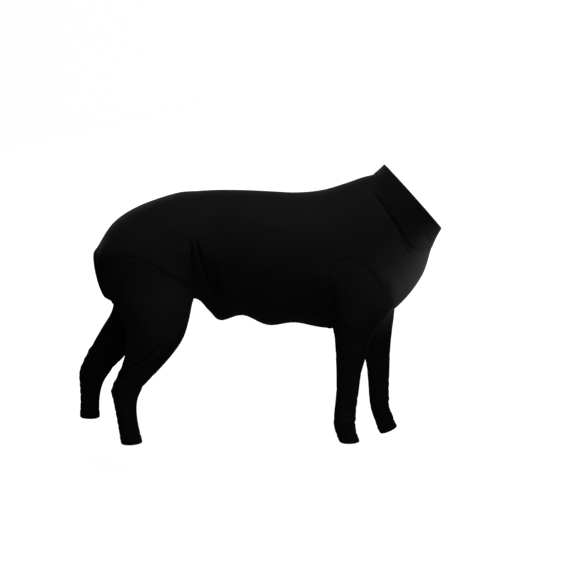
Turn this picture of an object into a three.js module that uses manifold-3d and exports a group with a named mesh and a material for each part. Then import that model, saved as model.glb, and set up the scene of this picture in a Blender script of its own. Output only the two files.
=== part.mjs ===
// Dog recovery suit: a four-legged body suit of stretch jersey with a stand collar, long sleeves,
// turned hems, a tail opening and a closure on the belly. Millimetres, +X to the head end,
// +Y the wearer's left, +Z up. The origin is the cloth's inner face on top of the middle of the
// back, where the suit sits on its wearer.
import * as THREE from "three";
import { mergeVertices } from "three/addons/utils/BufferGeometryUtils.js";
import Module from "manifold-3d";

const wasm = await Module();
wasm.setup();

// Driving dimensions
const suitLength = 692; // from the tail opening to the throat
const trunkDepth = 272; // from the back to the belly
const trunkWidth = 210; // at the chest
const hindDrop = 500; // from the back to the hind cuffs
const foreDrop = 500; // from the back to the fore cuffs
const thighDepth = 174; // the thigh, front to rear
const thighWidth = 92; // the thigh, side to side
const hindSpread = 184; // between the middles of the hind legs
const armDepth = 132; // the upper foreleg, front to rear
const armWidth = 76; // the upper foreleg, side to side
const foreSpread = 156; // between the middles of the forelegs
const cloth = 1.5; // one layer of jersey
const turned = 0.75; // what a doubled layer adds on each face
const seamGap = 0.3; // clearance between neighbouring panels
const hemWidth = 14; // the turned hem of a cuff
const tailHemWidth = 10; // the turned hem of the tail opening
const tailRoom = 6; // space round the tail opening, between it and the thighs
const zipLength = 250; // the belly closure
const zipWidth = 24;
const jointBlend = 34; // how softly a leg runs into the trunk

// Steps of the nets that the surface is drawn on: along the suit, across it, and up and down
const trunkStep = { x: 35, y: 27, z: 28 };
const flankStep = 12.5; // along the suit, over the folds of the flank
const legStep = { x: 17.5, y: 15.5, z: 40 };
const cuffStep = 21; // up and down, near the cuffs
const edgeStep = { x: 27, y: 26, z: 26 }; // the collar and the tail opening
const margin = 1.5; // steps of space round each net

const sliver = 0.004; // shorter edges than this are closed up
const probe = 0.5; // between trial points, where a slope is worked out

const jerseyBlack = { color: 0x0b0b0c, roughness: 0.88, metalness: 0 };

// Sections of the trunk from rump to neck, each a line from the back to the belly.
// at: share of suitLength, up: share of trunkDepth, wide: half width, share of trunkWidth
const trunkRows = [
  { backAt: -0.548, backUp: -0.54, bellyAt: -0.515, bellyUp: -0.8, wide: 0.215 },
  { backAt: -0.507, backUp: -0.455, bellyAt: -0.473, bellyUp: -0.81, wide: 0.25 },
  { backAt: -0.452, backUp: -0.246, bellyAt: -0.42, bellyUp: -0.87, wide: 0.38 },
  { backAt: -0.377, backUp: -0.117, bellyAt: -0.361, bellyUp: -0.865, wide: 0.45 },
  { backAt: -0.268, backUp: -0.02, bellyAt: -0.263, bellyUp: -0.82, wide: 0.452 },
  { backAt: -0.204, backUp: -0.003, bellyAt: -0.207, bellyUp: -0.812, wide: 0.425 },
  { backAt: -0.167, backUp: 0.003, bellyAt: -0.17, bellyUp: -0.905, wide: 0.43 },
  { backAt: -0.131, backUp: 0.006, bellyAt: -0.137, bellyUp: -0.975, wide: 0.445 },
  { backAt: -0.058, backUp: 0.003, bellyAt: -0.072, bellyUp: -0.935, wide: 0.467 },
  { backAt: 0.014, backUp: -0.006, bellyAt: 0.002, bellyUp: -1.01, wide: 0.49 },
  { backAt: 0.087, backUp: -0.014, bellyAt: 0.081, bellyUp: -0.99, wide: 0.5 },
  { backAt: 0.16, backUp: 0.004, bellyAt: 0.17, bellyUp: -1.03, wide: 0.5 },
  { backAt: 0.226, backUp: 0.053, bellyAt: 0.29, bellyUp: -1.025, wide: 0.476 },
  { backAt: 0.275, backUp: 0.097, bellyAt: 0.386, bellyUp: -0.86, wide: 0.438 },
  { backAt: 0.301, backUp: 0.114, bellyAt: 0.453, bellyUp: -0.638, wide: 0.381 },
  { backAt: 0.313, backUp: 0.129, bellyAt: 0.481, bellyUp: -0.418, wide: 0.367 },
  { backAt: 0.339, backUp: 0.19, bellyAt: 0.507, bellyUp: -0.28, wide: 0.352 },
  { backAt: 0.378, backUp: 0.316, bellyAt: 0.548, bellyUp: -0.145, wide: 0.345 },
];

// Sections of a leg from hip or shoulder down past the cuff.
// along: share of suitLength, down: share of the leg's drop, deep and wide: half sizes, shares of
// the leg's depth and width, out: middle, share of the spread, tilt: degrees, front edge down
const hindRightRows = [
  { along: -0.375, down: 0.15, deep: 0.26, wide: 0.3, out: 0.27, tilt: -7 },
  { along: -0.366, down: 0.222, deep: 0.42, wide: 0.42, out: 0.315, tilt: -3 },
  { along: -0.348, down: 0.312, deep: 0.49, wide: 0.47, out: 0.345, tilt: 2 },
  { along: -0.335, down: 0.394, deep: 0.482, wide: 0.5, out: 0.38, tilt: 0 },
  { along: -0.326, down: 0.456, deep: 0.43, wide: 0.5, out: 0.415, tilt: 1 },
  { along: -0.321, down: 0.52, deep: 0.362, wide: 0.47, out: 0.446, tilt: 5 },
  { along: -0.324, down: 0.57, deep: 0.316, wide: 0.435, out: 0.468, tilt: 5.5 },
  { along: -0.34, down: 0.627, deep: 0.262, wide: 0.39, out: 0.485, tilt: 7 },
  { along: -0.366, down: 0.686, deep: 0.206, wide: 0.335, out: 0.495, tilt: 13 },
  { along: -0.387, down: 0.728, deep: 0.174, wide: 0.29, out: 0.5, tilt: 16 },
  { along: -0.406, down: 0.777, deep: 0.176, wide: 0.24, out: 0.5, tilt: 0 },
  { along: -0.41, down: 0.822, deep: 0.14, wide: 0.215, out: 0.5, tilt: 0 },
  { along: -0.407, down: 0.888, deep: 0.12, wide: 0.2, out: 0.5, tilt: 0 },
  { along: -0.394, down: 0.995, deep: 0.12, wide: 0.207, out: 0.5, tilt: -3 },
  { along: -0.371, down: 1.14, deep: 0.117, wide: 0.207, out: 0.5, tilt: -5 },
];
const hindLeftRows = [
  { along: -0.375, down: 0.15, deep: 0.26, wide: 0.3, out: 0.27, tilt: -7 },
  { along: -0.366, down: 0.222, deep: 0.42, wide: 0.42, out: 0.315, tilt: -3 },
  { along: -0.351, down: 0.312, deep: 0.49, wide: 0.47, out: 0.345, tilt: 2 },
  { along: -0.344, down: 0.394, deep: 0.466, wide: 0.5, out: 0.38, tilt: 3 },
  { along: -0.355, down: 0.46, deep: 0.42, wide: 0.5, out: 0.415, tilt: 7 },
  { along: -0.379, down: 0.524, deep: 0.359, wide: 0.47, out: 0.446, tilt: 12 },
  { along: -0.405, down: 0.576, deep: 0.31, wide: 0.435, out: 0.468, tilt: 17 },
  { along: -0.443, down: 0.632, deep: 0.262, wide: 0.39, out: 0.485, tilt: 20 },
  { along: -0.481, down: 0.69, deep: 0.215, wide: 0.335, out: 0.495, tilt: 21 },
  { along: -0.51, down: 0.742, deep: 0.194, wide: 0.29, out: 0.5, tilt: 17 },
  { along: -0.535, down: 0.8, deep: 0.174, wide: 0.24, out: 0.5, tilt: 9 },
  { along: -0.544, down: 0.85, deep: 0.139, wide: 0.215, out: 0.5, tilt: 3 },
  { along: -0.548, down: 0.91, deep: 0.118, wide: 0.2, out: 0.5, tilt: 0 },
  { along: -0.55, down: 0.99, deep: 0.117, wide: 0.207, out: 0.5, tilt: 2 },
  { along: -0.55, down: 1.14, deep: 0.117, wide: 0.207, out: 0.5, tilt: 2 },
];
const foreRightRows = [
  { along: 0.25, down: 0.18, deep: 0.16, wide: 0.29, out: 0.33, tilt: -14 },
  { along: 0.249, down: 0.264, deep: 0.34, wide: 0.4, out: 0.4, tilt: -4 },
  { along: 0.268, down: 0.36, deep: 0.485, wide: 0.475, out: 0.45, tilt: 5 },
  { along: 0.27, down: 0.43, deep: 0.49, wide: 0.5, out: 0.475, tilt: 3 },
  { along: 0.259, down: 0.5, deep: 0.386, wide: 0.474, out: 0.495, tilt: 0 },
  { along: 0.249, down: 0.566, deep: 0.286, wide: 0.41, out: 0.5, tilt: 0 },
  { along: 0.2435, down: 0.636, deep: 0.238, wide: 0.355, out: 0.5, tilt: 0 },
  { along: 0.237, down: 0.718, deep: 0.19, wide: 0.296, out: 0.5, tilt: 0 },
  { along: 0.233, down: 0.8, deep: 0.172, wide: 0.263, out: 0.5, tilt: 0 },
  { along: 0.226, down: 0.896, deep: 0.167, wide: 0.25, out: 0.5, tilt: 0 },
  { along: 0.227, down: 0.942, deep: 0.166, wide: 0.256, out: 0.5, tilt: -1 },
  { along: 0.24, down: 0.998, deep: 0.15, wide: 0.25, out: 0.5, tilt: -2 },
  { along: 0.283, down: 1.13, deep: 0.15, wide: 0.25, out: 0.5, tilt: -4 },
];
const foreLeftRows = [
  { along: 0.25, down: 0.18, deep: 0.16, wide: 0.29, out: 0.33, tilt: -14 },
  { along: 0.252, down: 0.264, deep: 0.34, wide: 0.4, out: 0.4, tilt: -4 },
  { along: 0.277, down: 0.366, deep: 0.485, wide: 0.475, out: 0.45, tilt: 5 },
  { along: 0.29, down: 0.45, deep: 0.484, wide: 0.5, out: 0.475, tilt: 3 },
  { along: 0.306, down: 0.524, deep: 0.403, wide: 0.474, out: 0.495, tilt: 0 },
  { along: 0.319, down: 0.602, deep: 0.306, wide: 0.41, out: 0.5, tilt: 0 },
  { along: 0.327, down: 0.67, deep: 0.24, wide: 0.355, out: 0.5, tilt: 0 },
  { along: 0.334, down: 0.74, deep: 0.194, wide: 0.296, out: 0.5, tilt: 0 },
  { along: 0.3375, down: 0.827, deep: 0.17, wide: 0.263, out: 0.5, tilt: 0 },
  { along: 0.3395, down: 0.906, deep: 0.158, wide: 0.25, out: 0.5, tilt: 0 },
  { along: 0.344, down: 0.95, deep: 0.15, wide: 0.25, out: 0.5, tilt: -7 },
  { along: 0.355, down: 0.99, deep: 0.15, wide: 0.25, out: 0.5, tilt: -15 },
  { along: 0.369, down: 1.038, deep: 0.145, wide: 0.25, out: 0.5, tilt: -24 },
  { along: 0.432, down: 1.16, deep: 0.145, wide: 0.25, out: 0.5, tilt: -27 },
];

// Seams in the side view. at: share of suitLength, up: share of trunkDepth
const thighSeam = [
  { at: -0.465, up: -0.496 },
  { at: -0.433, up: -0.441 },
  { at: -0.399, up: -0.43 },
  { at: -0.355, up: -0.45 },
  { at: -0.315, up: -0.504 },
  { at: -0.254, up: -0.603 },
  { at: -0.216, up: -0.673 },
  { at: -0.21, up: -0.73 },
];
const shoulderSeam = [
  { at: 0.176, up: -0.607 },
  { at: 0.181, up: -0.505 },
  { at: 0.208, up: -0.449 },
  { at: 0.24, up: -0.447 },
  { at: 0.286, up: -0.498 },
  { at: 0.329, up: -0.643 },
  { at: 0.35, up: -0.735 },
  { at: 0.362, up: -0.82 },
];
const neckSeam = [
  { at: 0.322, up: 0.3 },
  { at: 0.311, up: 0.13 },
  { at: 0.303, up: 0.035 },
  { at: 0.322, up: -0.035 },
  { at: 0.344, up: -0.12 },
  { at: 0.365, up: -0.195 },
  { at: 0.386, up: -0.28 },
  { at: 0.41, up: -0.37 },
  { at: 0.442, up: -0.415 },
  { at: 0.49, up: -0.42 },
  { at: 0.56, up: -0.42 },
];

// Inner edges of the leg panels seen from below. at: share of suitLength, out: share of trunkWidth
const groinSeam = [
  { at: -0.56, out: 0.34 },
  { at: -0.49, out: 0.32 },
  { at: -0.42, out: 0.22 },
  { at: -0.33, out: 0.155 },
  { at: -0.26, out: 0.17 },
  { at: -0.19, out: 0.3 },
];
const armpitSeam = [
  { at: 0.14, out: 0.31 },
  { at: 0.21, out: 0.19 },
  { at: 0.28, out: 0.165 },
  { at: 0.35, out: 0.21 },
  { at: 0.41, out: 0.4 },
];

const groinUp = -0.9; // below this the hind legs stand free, share of trunkDepth
const armpitUp = -1.07; // the same of the forelegs
const sleeveFront = 0.44; // how far forward the fore sleeves reach, share of suitLength
const zipAt = 0.03; // middle of the closure, share of suitLength

// Stretches that have nets of their own. The flank's folds and the reach of the collar and of the
// tail hem are shares of suitLength, the inner side of a leg panel is a share of trunkWidth, and
// the start of the finer net above a cuff is a share of the leg's drop
const flankFrom = -0.23;
const flankTo = -0.15;
const collarReach = 0.2;
const mouthReach = 0.05;
const hindInside = 0.1;
const foreInside = 0.12;
const cuffFrom = 0.84;

// Folds and dents, each a line in the side view. at: share of suitLength, up: share of trunkDepth,
// half: half width and high: height (a dent is below 0), shares of trunkWidth, side: -1 right, 1 left
const foldFade = 0.2; // how far a fold runs on past its ends, share of its length
const foldReach = 3; // where a fold has died away across its line, in half widths
const foldsFrom = 0.1; // folds start this far from the middle plane, share of trunkWidth
const foldsFull = 0.25; // and have their full height here
const folds = [
  { fromAt: -0.216, fromUp: -0.36, toAt: -0.212, toUp: -0.7, half: 0.03, high: -0.022, side: -1 },
  { fromAt: -0.2, fromUp: -0.37, toAt: -0.182, toUp: -0.7, half: 0.026, high: 0.022, side: -1 },
  { fromAt: -0.176, fromUp: -0.4, toAt: -0.158, toUp: -0.74, half: 0.03, high: -0.018, side: -1 },
  { fromAt: 0.165, fromUp: -0.55, toAt: 0.178, toUp: -0.95, half: 0.05, high: -0.045, side: -1 },
  { fromAt: 0.165, fromUp: -0.55, toAt: 0.178, toUp: -0.95, half: 0.05, high: -0.045, side: 1 },
];

// A smooth curve through a column of a table, at row number t
function columnAt(rows, name, t) {
  const last = rows.length - 1;
  const row = Math.min(last - 1, Math.max(0, Math.floor(t)));
  const f = t - row;
  const before = rows[Math.max(0, row - 1)][name];
  const from = rows[row][name];
  const to = rows[row + 1][name];
  const after = rows[Math.min(last, row + 2)][name];
  const leave = (to - before) / 2;
  const arrive = (after - from) / 2;
  const bend = 3 * (to - from) - 2 * leave - arrive;
  const twist = 2 * (from - to) + leave + arrive;
  return from + f * (leave + f * (bend + f * twist));
}

// Sections of a loft in millimetres, with finer ones between the rows: one end of each section
// line, its direction, half its length, its half width and its middle
const between = 6;
function loftFrom(rows) {
  const loft = [];
  for (let i = 0; i <= between * (rows.length - 1); i += 1) {
    const at = (name) => columnAt(rows, name, i / between);
    const [ax, az, dx, dz] = [at("ax"), at("az"), at("bx") - at("ax"), at("bz") - at("az")];
    const length = Math.hypot(dx, dz);
    loft.push({ ax, az, dx: dx / length, dz: dz / length, deep: length / 2, wide: at("wide"),
      mid: at("mid") });
  }
  const xs = rows.flatMap((row) => [row.ax, row.bx]);
  const ys = rows.flatMap((row) => [row.mid - row.wide, row.mid + row.wide]);
  const zs = rows.flatMap((row) => [row.az, row.bz]);
  loft.box = new THREE.Box3(
    new THREE.Vector3(Math.min(...xs), Math.min(...ys), Math.min(...zs)),
    new THREE.Vector3(Math.max(...xs), Math.max(...ys), Math.max(...zs)),
  );
  loft.rows = rows;
  return loft;
}

function trunkLoft() {
  return loftFrom(trunkRows.map((row) => ({
    ax: row.backAt * suitLength,
    az: row.backUp * trunkDepth,
    bx: row.bellyAt * suitLength,
    bz: row.bellyUp * trunkDepth,
    wide: row.wide * trunkWidth,
    mid: 0,
  })));
}

function legLoft(leg) {
  return loftFrom(leg.rows.map((row) => {
    const lean = (row.tilt * Math.PI) / 180;
    const reachX = row.deep * leg.depth * Math.cos(lean);
    const reachZ = row.deep * leg.depth * Math.sin(lean);
    const x = row.along * suitLength;
    const z = -row.down * leg.drop;
    return {
      ax: x - reachX,
      az: z + reachZ,
      bx: x + reachX,
      bz: z - reachZ,
      wide: row.wide * leg.width,
      mid: leg.side * row.out * leg.spread,
    };
  }));
}

// How far a point lies to one side of a section's line
function pastSection(section, x, z) {
  return section.dx * (z - section.az) - section.dz * (x - section.ax);
}

// Distance of a point to the oval of a section, a share f of the way to the next one
function ovalDistance(from, to, f, x, y, z) {
  const mix = (name) => from[name] + f * (to[name] - from[name]);
  const deep = mix("deep");
  const wide = mix("wide");
  const u = (x - mix("ax")) * mix("dx") + (z - mix("az")) * mix("dz") - deep;
  const v = y - mix("mid");
  const round = Math.hypot(u / deep, v / wide);
  const slope = Math.hypot(u / (deep * deep), v / (wide * wide));
  return slope > 0 ? (round * (round - 1)) / slope : -Math.min(deep, wide);
}

// How far a point lies past one end section of a loft, on the side away from the other end
function beyondEnd(end, other, x, z) {
  return -pastSection(end, x, z) * Math.sign(pastSection(end, other.ax, other.az));
}

// Signed distance to a loft, below 0 inside, closed by a flat end at its first and last section.
// Far from the loft, where it joins nothing, the distance to its box will do
function loftDistance(loft, x, y, z) {
  const { min, max } = loft.box;
  const away = Math.max(min.x - x, x - max.x, min.y - y, y - max.y, min.z - z, z - max.z);
  if (away > 2 * jointBlend) return away;
  const first = loft[0];
  const last = loft.at(-1);
  const beyond = Math.max(beyondEnd(first, last, x, z), beyondEnd(last, first, x, z));
  let nearest = Infinity;
  let before = pastSection(first, x, z);
  for (let i = 1; i < loft.length; i += 1) {
    const after = pastSection(loft[i], x, z);
    if (before * after <= 0 && before !== after) {
      const f = before / (before - after);
      nearest = Math.min(nearest, ovalDistance(loft[i - 1], loft[i], f, x, y, z));
    }
    before = after;
  }
  if (nearest < Infinity) return Math.max(nearest, beyond);
  const near = Math.abs(pastSection(first, x, z)) < Math.abs(pastSection(last, x, z)) ? first : last;
  return Math.max(ovalDistance(near, near, 0, x, y, z), beyond, 0);
}

function smoothMin(a, b, blend) {
  const near = Math.max(blend - Math.abs(a - b), 0);
  return Math.min(a, b) - (near * near) / (4 * blend);
}

function smoothStep(low, high, value) {
  const f = Math.min(1, Math.max(0, (value - low) / (high - low)));
  return f * f * (3 - 2 * f);
}

const legs = [
  { name: "hind_right", rows: hindRightRows, side: -1, hind: true },
  { name: "hind_left", rows: hindLeftRows, side: 1, hind: true },
  { name: "front_right", rows: foreRightRows, side: -1, hind: false },
  { name: "front_left", rows: foreLeftRows, side: 1, hind: false },
];
for (const leg of legs) {
  leg.drop = leg.hind ? hindDrop : foreDrop;
  leg.depth = leg.hind ? thighDepth : armDepth;
  leg.width = leg.hind ? thighWidth : armWidth;
  leg.spread = leg.hind ? hindSpread : foreSpread;
  leg.loft = legLoft(leg);
}
const trunk = trunkLoft();

// Height of the folds over a point of the surface
function foldHeight(x, y, z) {
  let height = 0;
  for (const fold of folds) {
    const ax = fold.fromAt * suitLength;
    const az = fold.fromUp * trunkDepth;
    const dx = fold.toAt * suitLength - ax;
    const dz = fold.toUp * trunkDepth - az;
    const along = ((x - ax) * dx + (z - az) * dz) / (dx * dx + dz * dz);
    const across = ((x - ax) * dz - (z - az) * dx) / Math.hypot(dx, dz);
    const spread = across / (fold.half * trunkWidth);
    if (Math.abs(spread) > foldReach) continue;
    const rise = smoothStep(-foldFade, foldFade, along);
    const fall = smoothStep(-foldFade, foldFade, 1 - along);
    const sideways = smoothStep(foldsFrom * trunkWidth, foldsFull * trunkWidth, fold.side * y);
    height += fold.high * trunkWidth * Math.exp(-spread * spread) * rise * fall * sideways;
  }
  return height;
}

// The cloth's outer face: 0 on it, below 0 inside
function suitDistance(x, y, z) {
  let distance = loftDistance(trunk, x, y, z);
  for (const side of [-1, 1]) {
    let limbs = Infinity;
    for (const leg of legs) {
      if (leg.side === side) limbs = Math.min(limbs, loftDistance(leg.loft, x, y, z));
    }
    distance = smoothMin(distance, limbs, jointBlend);
  }
  return distance - foldHeight(x, y, z);
}

// The same surface cut off at the sides of a box
function suitWithin(box) {
  return (x, y, z) => Math.max(
    suitDistance(x, y, z),
    box.min.x - x, x - box.max.x,
    box.min.y - y, y - box.max.y,
    box.min.z - z, z - box.max.z,
  );
}

function gradient(distance, x, y, z) {
  return new THREE.Vector3(
    distance(x + probe, y, z) - distance(x - probe, y, z),
    distance(x, y + probe, z) - distance(x, y - probe, z),
    distance(x, y, z + probe) - distance(x, y, z - probe),
  ).divideScalar(2 * probe);
}

// Evenly spaced values from one end to the other, about a step apart
function spaced(from, to, step) {
  const count = Math.max(1, Math.round((to - from) / step));
  return Array.from({ length: count }, (unused, i) => from + ((to - from) * i) / count);
}

// Moves a point onto the surface, a little at a time
function settle(distance, point) {
  for (let step = 0; step < 4; step += 1) {
    const slope = gradient(distance, point.x, point.y, point.z);
    const move = distance(point.x, point.y, point.z) / Math.max(slope.lengthSq(), 0.25);
    slope.multiplyScalar(-move).clampLength(0, legStep.y / 2);
    point.add(slope);
  }
}

// The sides of a net's cell as rings of its corners, which are numbered x + 2y + 4z
const cellSides = [
  [0, 2, 6, 4], [1, 3, 7, 5], [0, 1, 5, 4], [2, 3, 7, 6], [0, 1, 3, 2], [4, 5, 7, 6],
];

// Groups the crossed edges of a cell by the sheet of surface that they belong to
function cellSheets(values) {
  const parent = new Map();
  const find = (edge) => (parent.get(edge) === edge ? edge : find(parent.get(edge)));
  const edgeOf = (a, b) => 8 * Math.min(a, b) + Math.max(a, b);
  const isInside = (corner) => values[corner] < 0;
  for (const ring of cellSides) {
    const crossed = ring
      .map((corner, i) => [corner, ring[(i + 1) % 4]])
      .filter(([a, b]) => isInside(a) !== isInside(b))
      .map(([a, b]) => edgeOf(a, b));
    crossed.filter((edge) => !parent.has(edge)).forEach((edge) => parent.set(edge, edge));
    if (crossed.length === 2) parent.set(find(crossed[0]), find(crossed[1]));
    if (crossed.length < 4) continue;
    ring.forEach((corner, i) => {
      if (!isInside(corner)) return;
      const before = edgeOf(ring[(i + 3) % 4], corner);
      parent.set(find(before), find(edgeOf(corner, ring[(i + 1) % 4])));
    });
  }
  return new Map([...parent.keys()].map((edge) => [edge, find(edge)]));
}

// A closed net of four-sided faces over the surface, a point for each sheet in each cell
function drawNet(distance, xs, ys, zs) {
  const sizes = [xs.length, ys.length, zs.length];
  const nodeAt = ([i, j, k]) => i + sizes[0] * (j + sizes[1] * k);
  const placeOf = ([i, j, k]) => new THREE.Vector3(xs[i], ys[j], zs[k]);
  const cornerOf = ([i, j, k], corner) => [i + (corner & 1), j + ((corner >> 1) & 1), k + (corner >> 2)];
  const value = new Float64Array(sizes[0] * sizes[1] * sizes[2]);
  zs.forEach((z, k) => {
    ys.forEach((y, j) => {
      xs.forEach((x, i) => {
        value[nodeAt([i, j, k])] = distance(x, y, z);
      });
    });
  });
  const points = [];
  const faces = [];
  const cells = new Map();

  // The net's points in a cell, by crossed edge
  function cellPoints(cell) {
    const key = nodeAt(cell);
    if (cells.has(key)) return cells.get(key);
    const corners = Array.from({ length: 8 }, (unused, corner) => cornerOf(cell, corner));
    const values = corners.map((corner) => value[nodeAt(corner)]);
    const sums = new Map();
    const pointOf = new Map();
    for (const [edge, sheet] of cellSheets(values)) {
      const [a, b] = [Math.floor(edge / 8), edge % 8];
      const share = values[a] / (values[a] - values[b]);
      const sum = sums.get(sheet) ?? { at: new THREE.Vector3(), count: 0, edges: [] };
      sum.at.add(placeOf(corners[a]).lerp(placeOf(corners[b]), share));
      sum.count += 1;
      sum.edges.push(edge);
      sums.set(sheet, sum);
    }
    for (const sum of sums.values()) {
      sum.edges.forEach((edge) => pointOf.set(edge, points.length));
      points.push(sum.at.divideScalar(sum.count));
    }
    cells.set(key, pointOf);
    return pointOf;
  }

  // The four cells round an edge along each axis, as steps back from its first node
  const around = [
    [[0, 1, 1], [0, 0, 1], [0, 0, 0], [0, 1, 0]],
    [[1, 0, 1], [1, 0, 0], [0, 0, 0], [0, 0, 1]],
    [[1, 1, 0], [0, 1, 0], [0, 0, 0], [1, 0, 0]],
  ];
  for (let k = 1; k < sizes[2] - 1; k += 1) {
    for (let j = 1; j < sizes[1] - 1; j += 1) {
      for (let i = 1; i < sizes[0] - 1; i += 1) {
        const here = value[nodeAt([i, j, k])] < 0;
        around.forEach((backs, axis) => {
          const next = [i, j, k];
          next[axis] += 1;
          if (value[nodeAt(next)] < 0 === here) return;
          const face = backs.map((back) => {
            const first = back[0] + 2 * back[1] + 4 * back[2];
            const edge = 8 * first + first + 2 ** axis;
            return cellPoints([i - back[0], j - back[1], k - back[2]]).get(edge);
          });
          faces.push(here ? face : face.reverse());
        });
      }
    }
  }
  return { points, faces };
}

// Evens out the net's points along the surface
function relax(distance, net, rounds) {
  for (let round = 0; round < rounds; round += 1) {
    const sums = net.points.map(() => new THREE.Vector3());
    const counts = new Array(net.points.length).fill(0);
    for (const face of net.faces) {
      face.forEach((p, i) => {
        const next = face[(i + 1) % face.length];
        sums[p].add(net.points[next]);
        sums[next].add(net.points[p]);
        counts[p] += 1;
        counts[next] += 1;
      });
    }
    net.points.forEach((point, i) => {
      point.lerp(sums[i].divideScalar(counts[i]), 0.5);
      settle(distance, point);
    });
  }
}

function solidFrom(geometry) {
  const bare = geometry.clone();
  bare.deleteAttribute("normal");
  bare.deleteAttribute("uv");
  const merged = mergeVertices(bare, 1e-3);
  return new wasm.Manifold(
    new wasm.Mesh({
      numProp: 3,
      vertProperties: new Float32Array(merged.attributes.position.array),
      triVerts: new Uint32Array(merged.index.array),
    }),
  );
}

// The net moved along its normals by an offset, as a solid
function netSolid(net, offset) {
  const vertices = new Float32Array(net.points.length * 3);
  net.points.forEach((point, i) => {
    point.clone().addScaledVector(net.normals[i], offset).toArray(vertices, 3 * i);
  });
  const triangles = [];
  for (const [a, b, c, d] of net.faces) {
    const first = net.points[a].distanceTo(net.points[c]);
    const second = net.points[b].distanceTo(net.points[d]);
    if (first < second) triangles.push(a, b, c, a, c, d);
    else triangles.push(a, b, d, b, c, d);
  }
  return new wasm.Manifold(
    new wasm.Mesh({
      numProp: 3,
      vertProperties: vertices,
      triVerts: new Uint32Array(triangles),
    }),
  );
}

const reach = 2 * (suitLength + hindDrop + foreDrop); // longer than anything that a cut crosses

// A wide block of space in front of a plane, given by a point and a direction in the side view
function beyondPlane(x, z, towardsX, towardsZ) {
  const block = new THREE.BoxGeometry(reach, reach, reach);
  block.translate(reach / 2, 0, 0);
  block.rotateY(-Math.atan2(towardsZ, towardsX));
  block.translate(x, 0, z);
  return solidFrom(block);
}

// Points of a smooth line through a table's rows, moved sideways by an offset
function smoothLine(points, offset) {
  const curve = new THREE.SplineCurve(points);
  const count = 2 * (points.length - 1);
  return Array.from({ length: count + 1 }, (unused, i) => {
    const along = curve.getTangent(i / count);
    return curve.getPoint(i / count).add(new THREE.Vector2(-along.y, along.x).multiplyScalar(offset));
  });
}

function sidePoints(rows) {
  return rows.map((row) => new THREE.Vector2(row.at * suitLength, row.up * trunkDepth));
}

// A prism through the suit from side to side, with its outline in the side view
function sidePrism(outline, fromY, toY) {
  const depth = toY - fromY;
  const prism = new THREE.ExtrudeGeometry(new THREE.Shape(outline), {
    depth,
    bevelEnabled: false,
  });
  prism.rotateX(Math.PI / 2);
  prism.translate(0, toY, 0);
  return solidFrom(prism);
}

// Space in front of the neck seam
function collarSpace(grow) {
  const line = smoothLine(sidePoints(neckSeam), -grow);
  const far = new THREE.Vector2(reach, reach / 2);
  return sidePrism([...line, new THREE.Vector2(reach, line.at(-1).y), far,
    new THREE.Vector2(line[0].x, reach / 2)], -reach, reach);
}

// Space of one leg panel: below its arched seam, and outside its inner edge or under the trunk
function legSpace(leg, grow) {
  const seam = smoothLine(sidePoints(leg.hind ? thighSeam : shoulderSeam), grow);
  const floor = -reach / 2;
  const rear = seam[0];
  const front = seam.at(-1);
  const past = sleeveFront * suitLength;
  const outline = leg.hind
    ? [new THREE.Vector2(-reach, rear.y), ...seam, new THREE.Vector2(front.x, floor),
      new THREE.Vector2(-reach, floor)]
    : [...seam, new THREE.Vector2(past, front.y), new THREE.Vector2(past, floor),
      new THREE.Vector2(rear.x, floor)];
  const below = sidePrism(outline, leg.side < 0 ? -reach : 0, leg.side < 0 ? 0 : reach);
  const rows = leg.hind ? groinSeam : armpitSeam;
  const edge = smoothLine(
    rows.map((row) => new THREE.Vector2(row.at * suitLength, row.out * trunkWidth)),
    -grow,
  );
  const inner = new THREE.Shape([
    new THREE.Vector2(-reach, edge[0].y),
    ...edge,
    new THREE.Vector2(reach, edge.at(-1).y),
    new THREE.Vector2(reach, reach),
    new THREE.Vector2(-reach, reach),
  ].map((point) => new THREE.Vector2(point.x, leg.side * point.y)));
  const outside = new THREE.ExtrudeGeometry(inner, { depth: 2 * reach, bevelEnabled: false });
  outside.translate(0, 0, -reach);
  const under = beyondPlane(0, (leg.hind ? groinUp : armpitUp) * trunkDepth + grow, 0, -1);
  return below.intersect(solidFrom(outside).add(under));
}

// Space past the end section of a loft, from a distance before it
function pastEnd(row, turn, before) {
  const out = new THREE.Vector2(row.bz - row.az, row.ax - row.bx).normalize().multiplyScalar(turn);
  const x = (row.ax + row.bx) / 2 - out.x * before;
  const z = (row.az + row.bz) / 2 - out.y * before;
  return beyondPlane(x, z, out.x, out.y);
}

function pastCuff(leg, before) {
  return pastEnd(leg.loft.rows.at(-2), 1, before);
}

// Space past the tail opening, in a tube a little larger than the opening
function pastTail(before, grow) {
  const edge = trunk.rows[1];
  const room = tailRoom + grow;
  const height = Math.hypot(edge.bx - edge.ax, edge.bz - edge.az) / 2 + room;
  const oval = new THREE.Shape().absellipse(0, 0, edge.wide + room, height, 0, 2 * Math.PI);
  const tube = new THREE.ExtrudeGeometry(oval, { depth: reach, bevelEnabled: false, curveSegments: 20 });
  tube.rotateX(Math.PI / 2);
  tube.rotateZ(-Math.PI / 2);
  tube.translate(before + grow, 0, 0);
  tube.rotateY(Math.atan2(edge.ax - edge.bx, edge.az - edge.bz));
  tube.translate((edge.ax + edge.bx) / 2, 0, (edge.az + edge.bz) / 2);
  return solidFrom(tube);
}

// Space of the closure on the belly's middle line
function zipSpace(grow) {
  const strip = new THREE.BoxGeometry(zipLength + 2 * grow, zipWidth + 2 * grow, trunkDepth);
  strip.translate(zipAt * suitLength, 0, -trunkDepth);
  return solidFrom(strip);
}

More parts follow.
